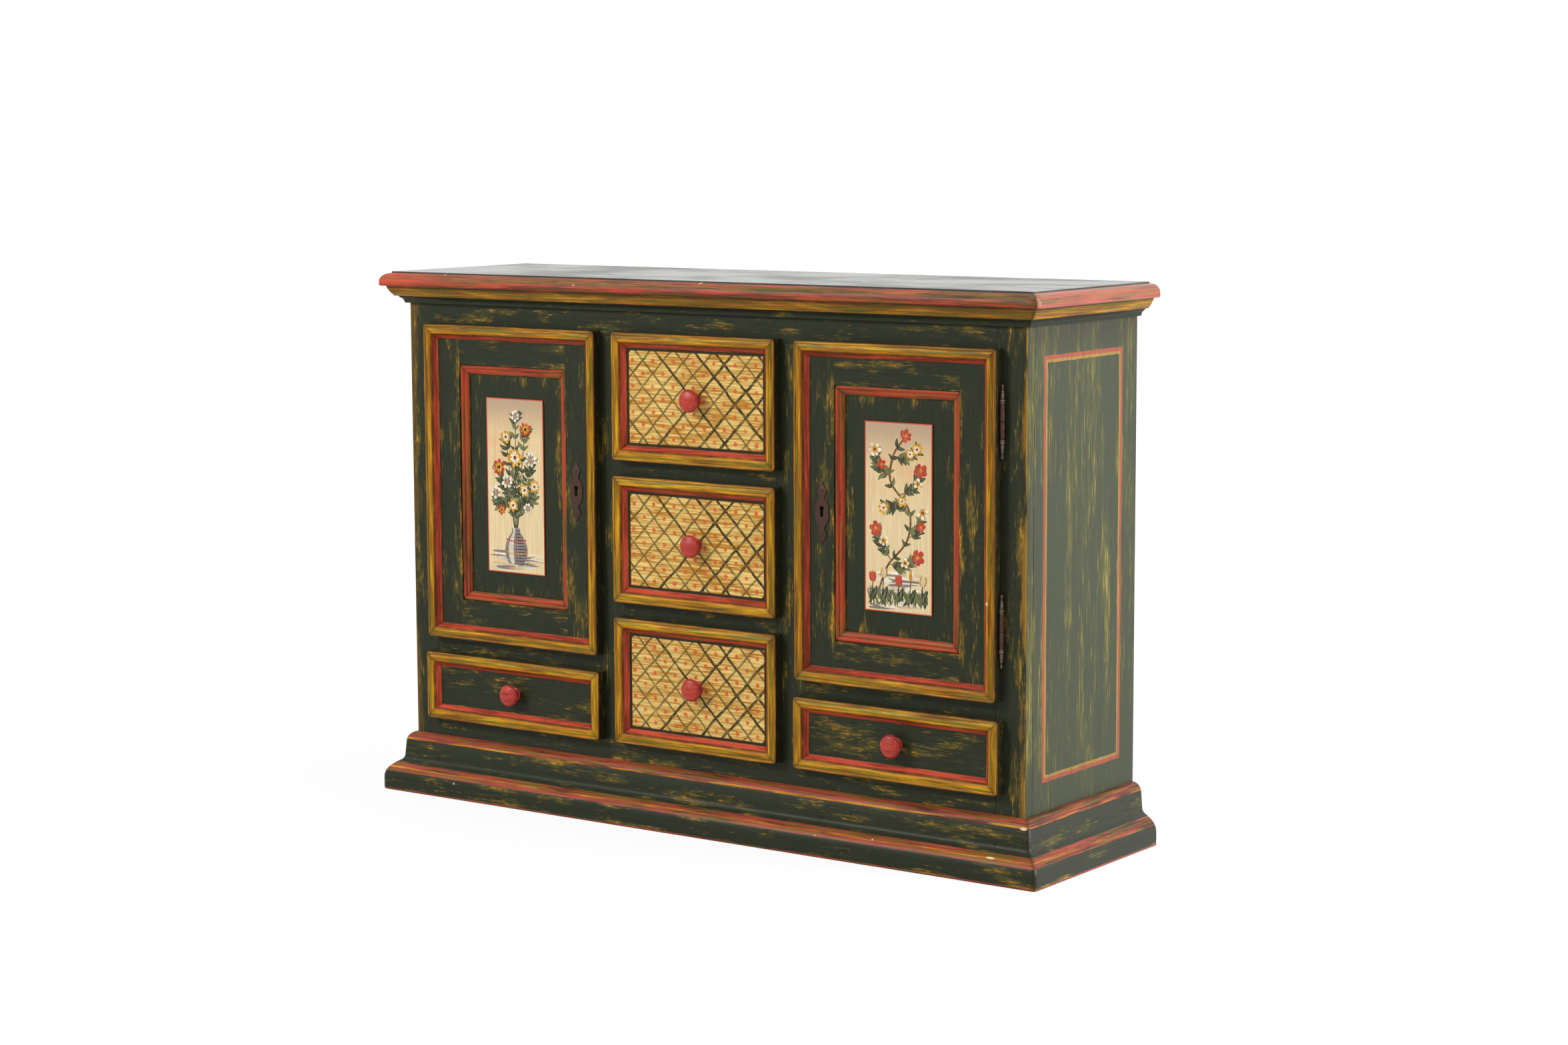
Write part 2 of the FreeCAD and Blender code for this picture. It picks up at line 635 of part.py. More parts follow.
def door_pieces():
    """All pieces of the right door."""
    left, right = DOOR_INNER + STILE_WIDTH, DOOR_OUTER - STILE_WIDTH
    bottom, top = DOOR_BOTTOM + RAIL_WIDTH, DOOR_TOP - RAIL_WIDTH
    opening = (left, right, bottom, top)
    outline = (DOOR_INNER, DOOR_OUTER, DOOR_BOTTOM, DOOR_TOP)
    lip = slab(DOOR_INNER, DOOR_OUTER, LIP_BACK, LIP_FACE, DOOR_BOTTOM, DOOR_TOP)
    inset = slab(DOOR_INSET[0], DOOR_INSET[1], DOOR_BACK, LIP_BACK, DOOR_INSET[2], DOOR_INSET[3])
    groove = slab(
        left - GROOVE_DEPTH,
        right + GROOVE_DEPTH,
        PANEL_BACK - GROOVE_FIT,
        PANEL_MARGIN + GROOVE_FIT,
        bottom - GROOVE_DEPTH,
        top + GROOVE_DEPTH,
    )
    window = slab(left, right, DOOR_BACK, LIP_FACE, bottom, top)
    blank = cut_all(join([lip, inset]), [groove, window])
    tenons = door_frame_tenons(opening)
    lock_stile = blank.common(slab(DOOR_INNER, left, DOOR_BACK, LIP_FACE, DOOR_BOTTOM, DOOR_TOP))
    hinge_stile = blank.common(slab(right, DOOR_OUTER, DOOR_BACK, LIP_FACE, DOOR_BOTTOM, DOOR_TOP))
    bottom_rail = blank.common(slab(left, right, DOOR_BACK, LIP_FACE, DOOR_BOTTOM, bottom))
    top_rail = blank.common(slab(left, right, DOOR_BACK, LIP_FACE, top, DOOR_TOP))
    lock_body, lock_case, lock_bolt = lock_pieces()
    plate_and_nails = escutcheon()
    mortises = tenons["bottom"] + tenons["top"]
    hole = keyhole(LOCK_FRONT, LIP_FACE)
    lock_stile = cut_all(lock_stile, mortises + [lock_body, hole] + plate_and_nails[1:])
    leaves = [door_leaf(height) for height in hinge_heights()]
    hinge_stile = cut_all(hinge_stile, mortises + leaves)
    bore = PIN_RADIUS + PIN_RUNNING_FIT
    upper_halves = [
        knuckle(height, 1, door_leaf(height), bore, PIN_ABOVE + PIN_END_GAP) for height in hinge_heights()
    ]
    return {
        "frame": [
            lock_stile,
            hinge_stile,
            join([bottom_rail] + tenons["bottom"]),
            join([top_rail] + tenons["top"]),
        ],
        "panel": door_panel(opening),
        "moulding": moulded_frame(*outline, LIP_FACE, FRAME_MOULDING, FRAME_MOULDING_WIDTH),
        "bead": moulded_frame(*opening, PANEL_MARGIN, BEAD_SECTION, BEAD_WIDTH),
        "hinge_halves": upper_halves,
        "escutcheon": plate_and_nails,
        "lock_case": lock_case,
        "lock_bolt": lock_bolt,
    }


def drawer_places():
    """For each drawer: the lip's rectangle and the opening's rectangle, as x0, x1, z0, z1."""
    places = {}
    for name, bottom in zip(("upper", "middle", "lower"), deep_drawer_bottoms()):
        lap = (DEEP_GAP - DRAWER_RAIL) / 2
        lip = (-DEEP_HALF_WIDTH, DEEP_HALF_WIDTH, bottom, bottom + DEEP_HEIGHT)
        opening_bottom = max(bottom - lap, OPENINGS_BOTTOM)
        places[name] = (
            lip,
            (-INNER_STILE_INNER_EDGE, INNER_STILE_INNER_EDGE, opening_bottom, bottom + DEEP_HEIGHT + lap),
        )
    lip = (SMALL_INNER, SMALL_OUTER, SMALL_BOTTOM, SMALL_TOP)
    opening = (INNER_STILE_OUTER_EDGE, OUTER_STILE_EDGE, OPENINGS_BOTTOM, SMALL_OPENING_TOP)
    for name, side in SIDES.items():
        places[name] = (mirrored_range(lip, side), mirrored_range(opening, side))
    return places


def mirrored_range(rectangle, side):
    x0, x1, z0, z1 = rectangle
    low, high = sorted((side * x0, side * x1))
    return (low, high, z0, z1)


def tails(x0, x1, z0, z1):
    """Dovetails on the front end of a drawer side, as wedges that widen towards the front."""
    count = max(2, round((z1 - z0) / TAIL_PITCH))
    step = (z1 - z0) / count
    y_back = FRONT - DRAWER_FRONT_BACK
    y_front = y_back - TAIL_LENGTH
    wedges = []
    for index in range(count):
        z = z0 + (index + 0.5) * step
        corners = [
            V(x0, y_back, z - TAIL_NARROW),
            V(x0, y_front, z - TAIL_WIDE),
            V(x0, y_front, z + TAIL_WIDE),
            V(x0, y_back, z + TAIL_NARROW),
        ]
        wedges.append(prism(corners, V(x1 - x0, 0, 0)))
    return wedges


def drawer_pieces(lip, opening):
    x0, x1 = opening[0] + INSET_CLEARANCE, opening[1] - INSET_CLEARANCE
    z0, z1 = opening[2] + INSET_CLEARANCE, opening[3] - INSET_CLEARANCE
    box_top = opening[3] - DRAWER_TOP_CLEARANCE
    lip_board = slab(lip[0], lip[1], LIP_BACK, LIP_FACE, lip[2], lip[3])
    inset = slab(x0, x1, DRAWER_FRONT_BACK, LIP_BACK, z0, z1)
    front = join([lip_board, inset])
    bottom_z = z0 + DRAWER_BOTTOM_RISE
    bottom = slab(
        x0 + DRAWER_SIDE - DRAWER_GROOVE,
        x1 - DRAWER_SIDE + DRAWER_GROOVE,
        DRAWER_END + LIP_BACK,
        DRAWER_FRONT_BACK + DRAWER_GROOVE,
        bottom_z,
        bottom_z + DRAWER_BOTTOM_THICKNESS,
    )
    back_end = DRAWER_END + DRAWER_BACK_INSET
    back = slab(
        x0 + DRAWER_SIDE - DRAWER_GROOVE,
        x1 - DRAWER_SIDE + DRAWER_GROOVE,
        back_end,
        back_end + DRAWER_SIDE,
        bottom_z + DRAWER_BOTTOM_THICKNESS,
        box_top - DRAWER_TOP_CLEARANCE,
    )
    sides = []
    sockets = []
    for left, right in ((x0, x0 + DRAWER_SIDE), (x1 - DRAWER_SIDE, x1)):
        wedges = tails(left, right, z0, box_top)
        plank = slab(left, right, DRAWER_END, DRAWER_FRONT_BACK, z0, box_top)
        sides.append(cut_all(join([plank] + wedges), [bottom, back]))
        sockets.extend(wedges)
    middle = V((lip[0] + lip[1]) / 2, FRONT - LIP_FACE, (lip[2] + lip[3]) / 2)
    knob = turned(KNOB_SECTION, middle, V(0, -1, 0), V(1, 0, 0))
    front = cut_all(front, sockets + [bottom, knob])
    moulding = moulded_frame(*lip, LIP_FACE, FRAME_MOULDING, FRAME_MOULDING_WIDTH)
    return {"front": front, "moulding": moulding, "box": sides + [back], "bottom": bottom, "knob": knob}


def runners():
    """A ledge under each end of every drawer, and a guide beside it, fixed to the partitions and sides."""
    ledges = []
    guides = []
    for name, (lip, opening) in drawer_places().items():
        x0, x1 = opening[0] + INSET_CLEARANCE, opening[1] - INSET_CLEARANCE
        ledge_top = opening[2] + INSET_CLEARANCE - RUNNER_GAP
        walls = (-PARTITION_INNER, PARTITION_INNER)
        if name in SIDES:
            walls = mirrored_range((PARTITION_OUTER, SIDE_INNER, 0, 0), SIDES[name])[:2]
        y0, y1 = INSIDE_FRONT, INSIDE_BACK
        ledge_bottom = max(ledge_top - RUNNER_THICKNESS, BOTTOM_BOARD_TOP)
        ledges.append(box(walls[0], x0 + RUNNER_LEDGE, y0, y1, ledge_bottom, ledge_top))
        ledges.append(box(x1 - RUNNER_LEDGE, walls[1], y0, y1, ledge_bottom, ledge_top))
        guides.append(box(walls[0], x0 - GUIDE_GAP, y0, y1, ledge_top, ledge_top + GUIDE_HEIGHT))
        guides.append(box(x1 + GUIDE_GAP, walls[1], y0, y1, ledge_top, ledge_top + GUIDE_HEIGHT))
    return {"drawer_runners": ledges, "drawer_guides": guides}


def all_pieces():
    pieces = {}
    for make in (top_pieces, skirt_pieces, face_frame, carcass_boards, runners, frame_hinge_pieces):
        pieces.update(make())
    door = door_pieces()
    for name, side in SIDES.items():
        for piece, shape in door.items():
            shapes = shape if isinstance(shape, list) else [shape]
            pieces[f"{name}_door_{piece}"] = [on_side(one, side) for one in shapes]
    for name, (lip, opening) in drawer_places().items():
        for piece, shape in drawer_pieces(lip, opening).items():
            pieces[f"{name}_drawer_{piece}"] = shape
    return pieces


def main():
    os.makedirs("parts", exist_ok=True)
    for name, shape in all_pieces().items():
        shapes = shape if isinstance(shape, list) else [shape]
        solids = [solid for one in shapes for solid in one.Solids]
        whole = solids[0] if len(solids) == 1 else Part.makeCompound(solids)
        whole.exportStep(f"parts/{name}.step")
        print(f"{name}: {len(solids)} solids, valid {whole.isValid()}")


if __name__ == "__main__":
    main()
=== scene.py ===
"""Looks of a painted credenza: worn paint on mouldings and panels, lattice drawers, knobs and ironwork."""

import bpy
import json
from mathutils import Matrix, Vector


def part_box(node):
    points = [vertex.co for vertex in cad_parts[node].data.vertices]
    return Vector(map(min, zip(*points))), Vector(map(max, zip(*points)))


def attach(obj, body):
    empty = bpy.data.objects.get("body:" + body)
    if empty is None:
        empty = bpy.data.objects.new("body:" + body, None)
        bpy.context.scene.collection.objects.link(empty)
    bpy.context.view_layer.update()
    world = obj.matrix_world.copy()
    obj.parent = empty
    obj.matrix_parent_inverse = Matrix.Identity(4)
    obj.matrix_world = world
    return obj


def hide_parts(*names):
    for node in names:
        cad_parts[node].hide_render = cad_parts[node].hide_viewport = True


bl_info = {
    "name": "Painted credenza",
    "version": (1, 0, 0),
    "blender": (4, 5, 0),
    "location": "3D View > Sidebar > Credenza",
    "description": "Paint, mouldings, ironwork and painted panels of a credenza",
    "category": "Object",
}

import json
import math
import random
import bmesh
import bpy
from mathutils import Matrix, Vector

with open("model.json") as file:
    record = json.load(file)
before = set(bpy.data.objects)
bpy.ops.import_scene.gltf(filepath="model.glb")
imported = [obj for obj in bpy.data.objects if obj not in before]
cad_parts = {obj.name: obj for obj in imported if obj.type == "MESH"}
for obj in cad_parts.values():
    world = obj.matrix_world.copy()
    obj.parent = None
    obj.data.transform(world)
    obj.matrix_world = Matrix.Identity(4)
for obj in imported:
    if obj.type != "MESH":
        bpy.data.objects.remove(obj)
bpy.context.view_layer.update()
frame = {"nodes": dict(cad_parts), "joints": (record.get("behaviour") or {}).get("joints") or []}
NODES = frame["nodes"]
MM = 0.001
SIDES = {"left": -1, "right": 1}
DEEP_DRAWERS = ("upper", "middle", "lower")
DRAWERS = DEEP_DRAWERS + tuple(SIDES)
BACK_BOARDS = 6
DRAWER_WALL = 0.012
BOARD_EDGE = 0.0006
HINGE_AWAY = 0.177

# Places read from the frame, in metres
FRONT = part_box("face_frame_stiles")[0].y
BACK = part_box("right_side")[1].y
HALF_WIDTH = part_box("right_side")[1].x
TOP_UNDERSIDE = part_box("top_board")[0].z
CORNICE_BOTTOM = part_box("cornice")[0].z
LIP_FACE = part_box("upper_drawer_front")[0].y
PANEL_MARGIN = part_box("right_door_bead")[1].y

# Sections in millimetres, as (reach, height); a pair of points is an arc through the first to the second
FRAME_MOULDING = [
    (0, 0), (0, 10.4), ((0.8, 12), (2.6, 12.9)), ((4.4, 12.8), (5.5, 12.1)), (5.9, 11.7), (6.4, 11.9),
    ((12.2, 14), (18.6, 11.2)), (19.1, 10), (19.5, 10.4), (20.1, 10), ((23.8, 5.6), (27, 1.2)),
    (28, 0.8), (28, 0),
]
BEAD_SECTION = [
    (0, 0), (0, 7.8), (0.6, 8.5), ((3.9, 9.5), (7.8, 7.3)), (8.3, 6.4), (8.8, 6.6),
    ((13.8, 5.3), (16.8, 2.7)),
    (17.5, 2.3), (17.5, 0),
]
PLINTH_SECTION = [
    (0, 0), (46.5, 0), ((48.3, 0.8), (49, 2.6)), (49, 24.5), ((46.7, 35.6), (41.4, 44)),
    ((34, 50.4), (27, 55)),
    ((22, 59.4), (20, 66)), (17.6, 95), (17, 96), (17.3, 97), ((13.2, 105), (5.6, 110.2)), (0, 111),
]
CORNICE_SECTION = [
    (0, 0), (7, 0), ((7.8, 0.4), (8.2, 2)), ((10.2, 6.6), (14.4, 10.2)), (15.2, 10.6), (15.6, 11),
    (15.6, 12.8),
    (16, 13.2), (21.8, 13.6), ((22.5, 14), (22.8, 15.2)), ((29, 23.4), (33, 33)), (0, 33),
]
NOSING_SECTION = [
    (24, 0), (43, 0), ((44.4, 0.6), (45, 2)), (45, 8), ((41.2, 18), (31.5, 23.4)), (24.6, 24.6), (24, 24.6),
]
KNOB_SECTION = [
    (0, 0), (12.6, 0), ((13.5, 1.7), (12.2, 3.4)), (9.4, 4.2), ((7.4, 8.8), (10.5, 14)),
    ((15.4, 15.4), (19.3, 17.2)),
    ((20.9, 19.4), (20, 21.6)), ((18.2, 24.3), (14, 26.2)), ((7.4, 28.1), (0, 28.8)),
]
FINIAL_SECTION = [
    (4.75, 0), ((5.1, 1.4), (4.2, 2.8)), (2.9, 3.6), ((3.5, 9), (2.5, 14.5)),
    ((3.4, 16.2), (2.4, 17.8)), (1.6, 18.6),
    (1.5, 23), ((2.6, 26), (0, 28.6)),
]
# Half widths of the key plate, in millimetres, at heights above its middle
PLATE_OUTLINE = [
    (0, 14.2), (4, 14.5), (8, 14.4), (11, 13.8), (13, 13.2), (15, 13.0), (17, 11.8), (19.5, 9.6), (22, 7.4),
    (25, 5.9), (28, 5.5), (30, 5.8), (32, 6.5), (34, 7.5), (36, 8.5), (37.5, 9.0), (39.5, 9.2), (42, 8.7),
    (44.5, 7.2), (47, 5.2), (49.5, 3.6), (52, 2.0), (54.3, 0.5),
]
# The keyhole in millimetres: its place, its round part's radius and height, its slot's half width and drop
KEYHOLE = {"x": 275.0, "z": 604.0, "radius": 4.3, "rise": 7.4, "slot": 2.9, "drop": 7.5}
PLATE_THICKNESS = 1.6
NAIL_RISE = 39.5
BARREL_END = 34.5

# Each lamp's place and size in metres, and its watts
LAMPS = {
    "key": ((-2.6, -4.2, 3.4), 1.9, 200),
    "front": ((2.6, -4.0, 2.8), 1.6, 42),
    "behind": ((3.6, 4.6, 1.7), 3.0, 70),
    "right": ((4.6, 1.2, 1.8), 3.0, 190),
    "sky": ((0.0, 0.0, 4.2), 3.6, 28),
    "above": ((2.0, 0.4, 2.6), 0.8, 18),
}
LAMP_TARGET = (0.0, 0.0, 0.5)
FLOOR_SIZE = 40
FLOOR_GREY = 0.62
FLOOR_WHITE = 1.12
WORLD_LIGHT = 0.25

# The camera's place is in metres, measured in depth from the front; its turns are in degrees
CAMERA = {"place": (3.3711, -4.4611, 1.2768), "turns": (35.514, 7.253, 0.232), "lens": 72.14, "sensor": 36}


def linear(red, green, blue):
    """A colour given as 0 to 255 on the screen, as linear light."""
    shares = [value / 255 for value in (red, green, blue)]
    return tuple(s / 12.92 if s <= 0.04045 else ((s + 0.055) / 1.055) ** 2.4 for s in shares)


def colour(name, about, red, green, blue):
    return bpy.props.FloatVectorProperty(
        name=name, description=about, subtype="COLOR", size=3, min=0, max=1, default=linear(red, green, blue)
    )


def length(name, about, metres):
    return bpy.props.FloatProperty(name=name, description=about, unit="LENGTH", default=metres)


class CredenzaColours(bpy.types.PropertyGroup):
    """Paints, iron and bare wood."""

    green: colour("Green", "Main paint", 44, 48, 32)
    side_green: colour("Side green", "Paint of the sides", 52, 58, 34)
    side_low: colour("Faint side rub", "Where the sides' green is rubbed thin", 72, 72, 30)
    side_mid: colour("Side rub", "Undercoat that shows through the sides' green", 112, 104, 42)
    side_high: colour("Strong side rub", "Undercoat where the sides' green is gone", 142, 126, 60)
    side_red: colour("Side red", "Red line on the sides", 152, 68, 46)
    side_ochre: colour("Side ochre", "Ochre line on the sides", 150, 116, 44)
    umber_deep: colour("Deep umber", "Dark streaks in the nosing's middle band", 76, 56, 34)
    umber_low: colour("Umber", "Paint of the nosing's middle band", 112, 80, 46)
    umber: colour("Light umber", "Light streaks in the nosing's middle band", 150, 90, 56)
    umber_high: colour("Bright umber", "Bright streaks in the nosing's middle band", 184, 94, 66)
    rub_low: colour("Faint rub", "Where the green is rubbed thin", 84, 80, 36)
    rub_mid: colour("Rub", "Undercoat that shows through the green", 138, 100, 34)
    rub_high: colour("Strong rub", "Undercoat where the green is gone", 186, 138, 42)
    ochre_deep: colour("Deep ochre", "Dark streaks in the ochre", 112, 70, 18)
    ochre_low: colour("Brown ochre", "Brown streaks in the ochre", 154, 100, 16)
    ochre: colour("Ochre", "Paint of the frame mouldings", 178, 132, 18)
    ochre_high: colour("Bright ochre", "Bright streaks in the ochre", 210, 166, 30)
    amber: colour("Amber", "Inner half of the frame mouldings", 204, 136, 24)
    olive: colour("Olive", "Green glaze over the ochre", 104, 102, 28)
    bead_deep: colour("Deep bead", "Dark streaks on the mouldings' outer bead", 112, 74, 24)
    bead_low: colour("Brown bead", "Brown streaks on the mouldings' outer bead", 138, 88, 28)
    bead: colour("Bead", "Paint of the mouldings' outer bead", 172, 112, 26)
    bead_high: colour("Bright bead", "Bright streaks on the mouldings' outer bead", 206, 150, 46)
    red_deep: colour("Deep red", "Dark streaks in the red", 88, 46, 28)
    red_low: colour("Dark red", "Glaze over the red", 134, 54, 34)
    red: colour("Red", "Paint of the beads and the nosing", 174, 62, 42)
    red_high: colour("Bright red", "Bright streaks in the red", 192, 82, 58)
    # Painted light: a brighter red than the beads' for the slopes, for the light they catch.
    slope: colour("Slope red", "Slopes inside the frame mouldings", 208, 84, 60)
    knob_deep: colour("Deep knob red", "Dark streaks on the knobs", 108, 34, 24)
    knob_low: colour("Dark knob red", "Shaded paint on the knobs", 142, 36, 26)
    knob: colour("Knob red", "Paint of the knobs", 172, 42, 28)
    knob_high: colour("Bright knob red", "Bright streaks on the knobs", 184, 58, 42)
    dull_deep: colour("Deep dull red", "Dark streaks in the plinth's red", 66, 40, 24)
    dull_low: colour("Brown dull red", "Brown streaks in the plinth's red", 104, 50, 32)
    dull: colour("Dull red", "Red lines of the plinth", 150, 58, 46)
    dull_high: colour("Bright dull red", "Bright streaks in the plinth's red", 170, 76, 60)
    cream_deep: colour("Deep cream", "Dark streaks on the cream", 150, 84, 28)
    straw: colour("Straw", "Ochre streaks on the cream", 176, 116, 36)
    cream: colour("Cream", "Ground of the lattice drawers", 190, 152, 74)
    cream_high: colour("Pale cream", "Pale streaks on the cream", 230, 200, 122)
    lattice: colour("Lattice", "Painted lines on the cream", 50, 48, 26)
    dot: colour("Dot", "Dots between the lattice lines", 202, 82, 42)
    # Also the colour of painted shade in the quirks, below the cornice and at the plinth's foot, and of
    # specks and cracks.
    glaze: colour("Glaze", "Dark glaze in corners and quirks", 40, 26, 14)
    ground: colour("Ground", "Ground of the painted panels", 230, 208, 160)
    ground_warm: colour("Warm ground", "Peach tone in the painted panels", 226, 178, 124)
    ground_cool: colour("Cool ground", "Grey tone at the top of the painted panels", 182, 156, 128)
    pine: colour("Pine", "Unpainted wood", 176, 132, 84)
    pine_ring: colour("Pine ring", "Dark grain of the unpainted wood", 132, 88, 48)
    iron: colour("Iron", "Hinges, key plates and locks", 78, 56, 44)
    # Colour of the painted highlight at the ends of the hinge barrels.
    iron_highlight: colour("Bright iron", "Rubbed ends of the hinges", 112, 100, 92)
    rust: colour("Rust", "Brown patches on the iron", 62, 38, 27)
    chip: colour("Chip", "Bare wood in chipped paint", 226, 204, 158)
    leaf: colour("Leaf", "Leaves in the painted panels", 56, 66, 46)
    leaf_pale: colour("Pale leaf", "Pale leaves in the painted panels", 120, 122, 78)
    petal_red: colour("Red petal", "Red flowers in the painted panels", 192, 62, 38)
    petal_ochre: colour("Ochre petal", "Ochre flowers in the painted panels", 214, 158, 48)
    petal_pale: colour("Pale petal", "Pale flowers in the painted panels", 240, 228, 200)
    lilac: colour("Lilac", "Grey lilac in the painted panels", 142, 128, 128)


class CredenzaSizes(bpy.types.PropertyGroup):
    """Sizes of what is painted and worn."""

    step: length("Step", "Spacing of the rings along a frame moulding", 0.007)
    skirt_step: length("Skirt step", "Spacing of the rings along the plinth, cornice and nosing", 0.003)
    unevenness: length("Unevenness", "How far a moulding's surface strays", 0.00022)
    nosing_corner: length("Nosing corner", "Rounding of the nosing's corners, seen from above", 0.012)
    cornice_corner: length("Cornice corner", "Rounding of the cornice's corners, seen from above", 0.003)
    plinth_corner: length("Plinth corner", "Rounding of the plinth's corners, seen from above", 0.006)
    frame_corner: length("Frame corner", "Rounding of the frame mouldings' outer corners", 0.0055)
    cell_width: length("Cell width", "Width of a lattice diamond", 0.046)
    cell_height: length("Cell height", "Height of a lattice diamond", 0.047)
    line_width: length("Line width", "Width of a lattice line", 0.0043)
    dot_radius: length("Dot radius", "Radius of a lattice dot", 0.0038)
    border_red: length("Red border", "Width of the red line on the sides", 0.007)
    border_ochre: length("Ochre border", "Width of the ochre line on the sides", 0.005)
    edge: length("Edge", "Rounding of the boards' edges", 0.0012)
    board_gap: length("Board gap", "Gap between the back boards", 0.0008)
    nail_radius: length("Nail radius", "Radius of a nail head in the back", 0.0032)
    nail_rise: length("Nail rise", "How far a nail head stands out", 0.0007)
    nail_margin: length("Nail margin", "Distance of the upper nails from the boards' ends", 0.016)
    stroke: length("Stroke", "Thickness of a brush stroke in the painted panels", 0.00006)


def colours():
    return bpy.context.scene.credenza_colours


def sizes():
    return bpy.context.scene.credenza_sizes


class Nodes:
    """Adds nodes to one tree; each input is a value or another node's output."""

    def __init__(self, tree):
        self.tree = tree

    def feed(self, socket, value):
        if isinstance(value, bpy.types.NodeSocket):
            self.tree.links.new(value, socket)
        elif socket.type == "RGBA":
            socket.default_value = (*value[:3], 1)
        else:
            socket.default_value = value

    def add(self, kind, inputs=None, **settings):
        node = self.tree.nodes.new(kind)
        for key, value in settings.items():
            setattr(node, key, value)
        for key, value in (inputs or {}).items():
            self.feed(node.inputs[key], value)
        return node

    def math(self, operation, first, second=0.0, third=0.0):
        node = self.add("ShaderNodeMath", operation=operation)
        for index, value in enumerate((first, second, third)):
            self.feed(node.inputs[index], value)
        return node.outputs[0]

    def plus(self, first, second):
        return self.math("ADD", first, second)

    def minus(self, first, second):
        return self.math("SUBTRACT", first, second)

    def times(self, first, second):
        return self.math("MULTIPLY", first, second)

    def most(self, first, second):
        return self.math("MAXIMUM", first, second)

    def scaled(self, value, share, offset):
        """A value times a share, with an offset added."""
        return self.math("MULTIPLY_ADD", value, share, offset)

    def gap(self, first, second):
        """How far apart two values are."""
        return self.math("ABSOLUTE", self.minus(first, second))

    def geometry(self, kind, inputs=None, **settings):
        """The first output of a geometry node."""
        return self.add(f"GeometryNode{kind}", inputs, **settings).outputs[0]

    def total(self, *terms):
        """A sum of (value, weight) terms."""
        result = 0.0
        for value, weight in terms:
            result = self.scaled(value, weight, result)
        return result

    def vector(self, operation, first, second=(0, 0, 0)):
        node = self.add("ShaderNodeVectorMath", operation=operation)
        self.feed(node.inputs[0], first)
        self.feed(node.inputs[1], second)
        return node.outputs[0]

    def noise(self, vector, stretch, detail=4.0, roughness=0.6):
        """Noise whose spots have the sizes 1 / stretch along each axis."""
        moved = self.vector("MULTIPLY", vector, stretch)
        node = self.add(
            "ShaderNodeTexNoise", {"Vector": moved, "Scale": 1.0, "Detail": detail, "Roughness": roughness}
        )
        return node.outputs["Fac"]

    def smooth(self, value, low, high, start=0.0, end=1.0):
        node = self.add(
            "ShaderNodeMapRange",
            {"Value": value, "From Min": low, "From Max": high, "To Min": start, "To Max": end},
            interpolation_type="SMOOTHSTEP",
        )
        return node.outputs["Result"]

    def mix(self, factor, first, second, blend="MIX"):
        node = self.add("ShaderNodeMix", data_type="RGBA", blend_type=blend)
        self.feed(node.inputs[0], factor)
        self.feed(node.inputs[6], first)
        self.feed(node.inputs[7], second)
        return node.outputs[2]

    def mix_vectors(self, factor, first, second):
        node = self.add("ShaderNodeMix", data_type="VECTOR")
        self.feed(node.inputs[0], factor)
        self.feed(node.inputs[4], first)
        self.feed(node.inputs[5], second)
        return node.outputs[1]

    def attribute(self, name, output="Vector"):
        return self.add("ShaderNodeAttribute", attribute_name=name).outputs[output]

    def chance(self, number):
        """A random value for each whole number."""
        return self.add("ShaderNodeTexWhiteNoise", {"W": number}, noise_dimensions="1D").outputs["Value"]

    def shaken(self, vector, place, scale, reach):
        """A vector shaken by the noise at a place."""
        wobble = self.add("ShaderNodeTexNoise", {"Vector": place, "Scale": scale, "Detail": 2.0})
        moved = self.vector("MULTIPLY_ADD", wobble.outputs["Color"], reach)
        self.feed(moved.node.inputs[2], vector)
        return moved

    def bump(self, shader, height, distance, strength=1.0):
        node = self.add("ShaderNodeBump", {"Height": height, "Strength": strength, "Distance": distance})
        self.feed(shader.inputs["Normal"], node.outputs[0])

    def painted(self, geometry, finish):
        """Plain geometry with one finish."""
        whole = self.geometry("RealizeInstances", {"Geometry": geometry})
        return self.geometry("SetMaterial", {"Geometry": whole, "Material": finish})

    def parts(self, vector):
        return self.add("ShaderNodeSeparateXYZ", {"Vector": vector}).outputs

    def combine(self, x, y, z):
        return self.add("ShaderNodeCombineXYZ", {"X": x, "Y": y, "Z": z}).outputs[0]

    def group(self, tree, **inputs):
        kind = "ShaderNodeGroup" if tree.bl_idname == "ShaderNodeTree" else "GeometryNodeGroup"
        node = self.add(kind, node_tree=tree)
        for name, value in inputs.items():
            self.feed(node.inputs[name.replace("_", " ").title()], value)
        return node.outputs


def node_group(name, kind, inputs, outputs):
    """Marks a function that fills a node group with these sockets; the group is made only once."""

    def marked(fill):
        def tree():
            if name not in bpy.data.node_groups:
                made = bpy.data.node_groups.new(name, kind)
                for side, sockets in (("INPUT", inputs), ("OUTPUT", outputs)):
                    for socket, socket_kind in sockets.items():
                        made.interface.new_socket(socket, in_out=side, socket_type=f"NodeSocket{socket_kind}")
                nodes = Nodes(made)
                fill(nodes, nodes.add("NodeGroupInput").outputs, nodes.add("NodeGroupOutput").inputs)
            return bpy.data.node_groups[name]

        return tree

    return marked


COAT = {"Color": "Color", "Roughness": "Float", "Height": "Float", "Wear": "Float"}


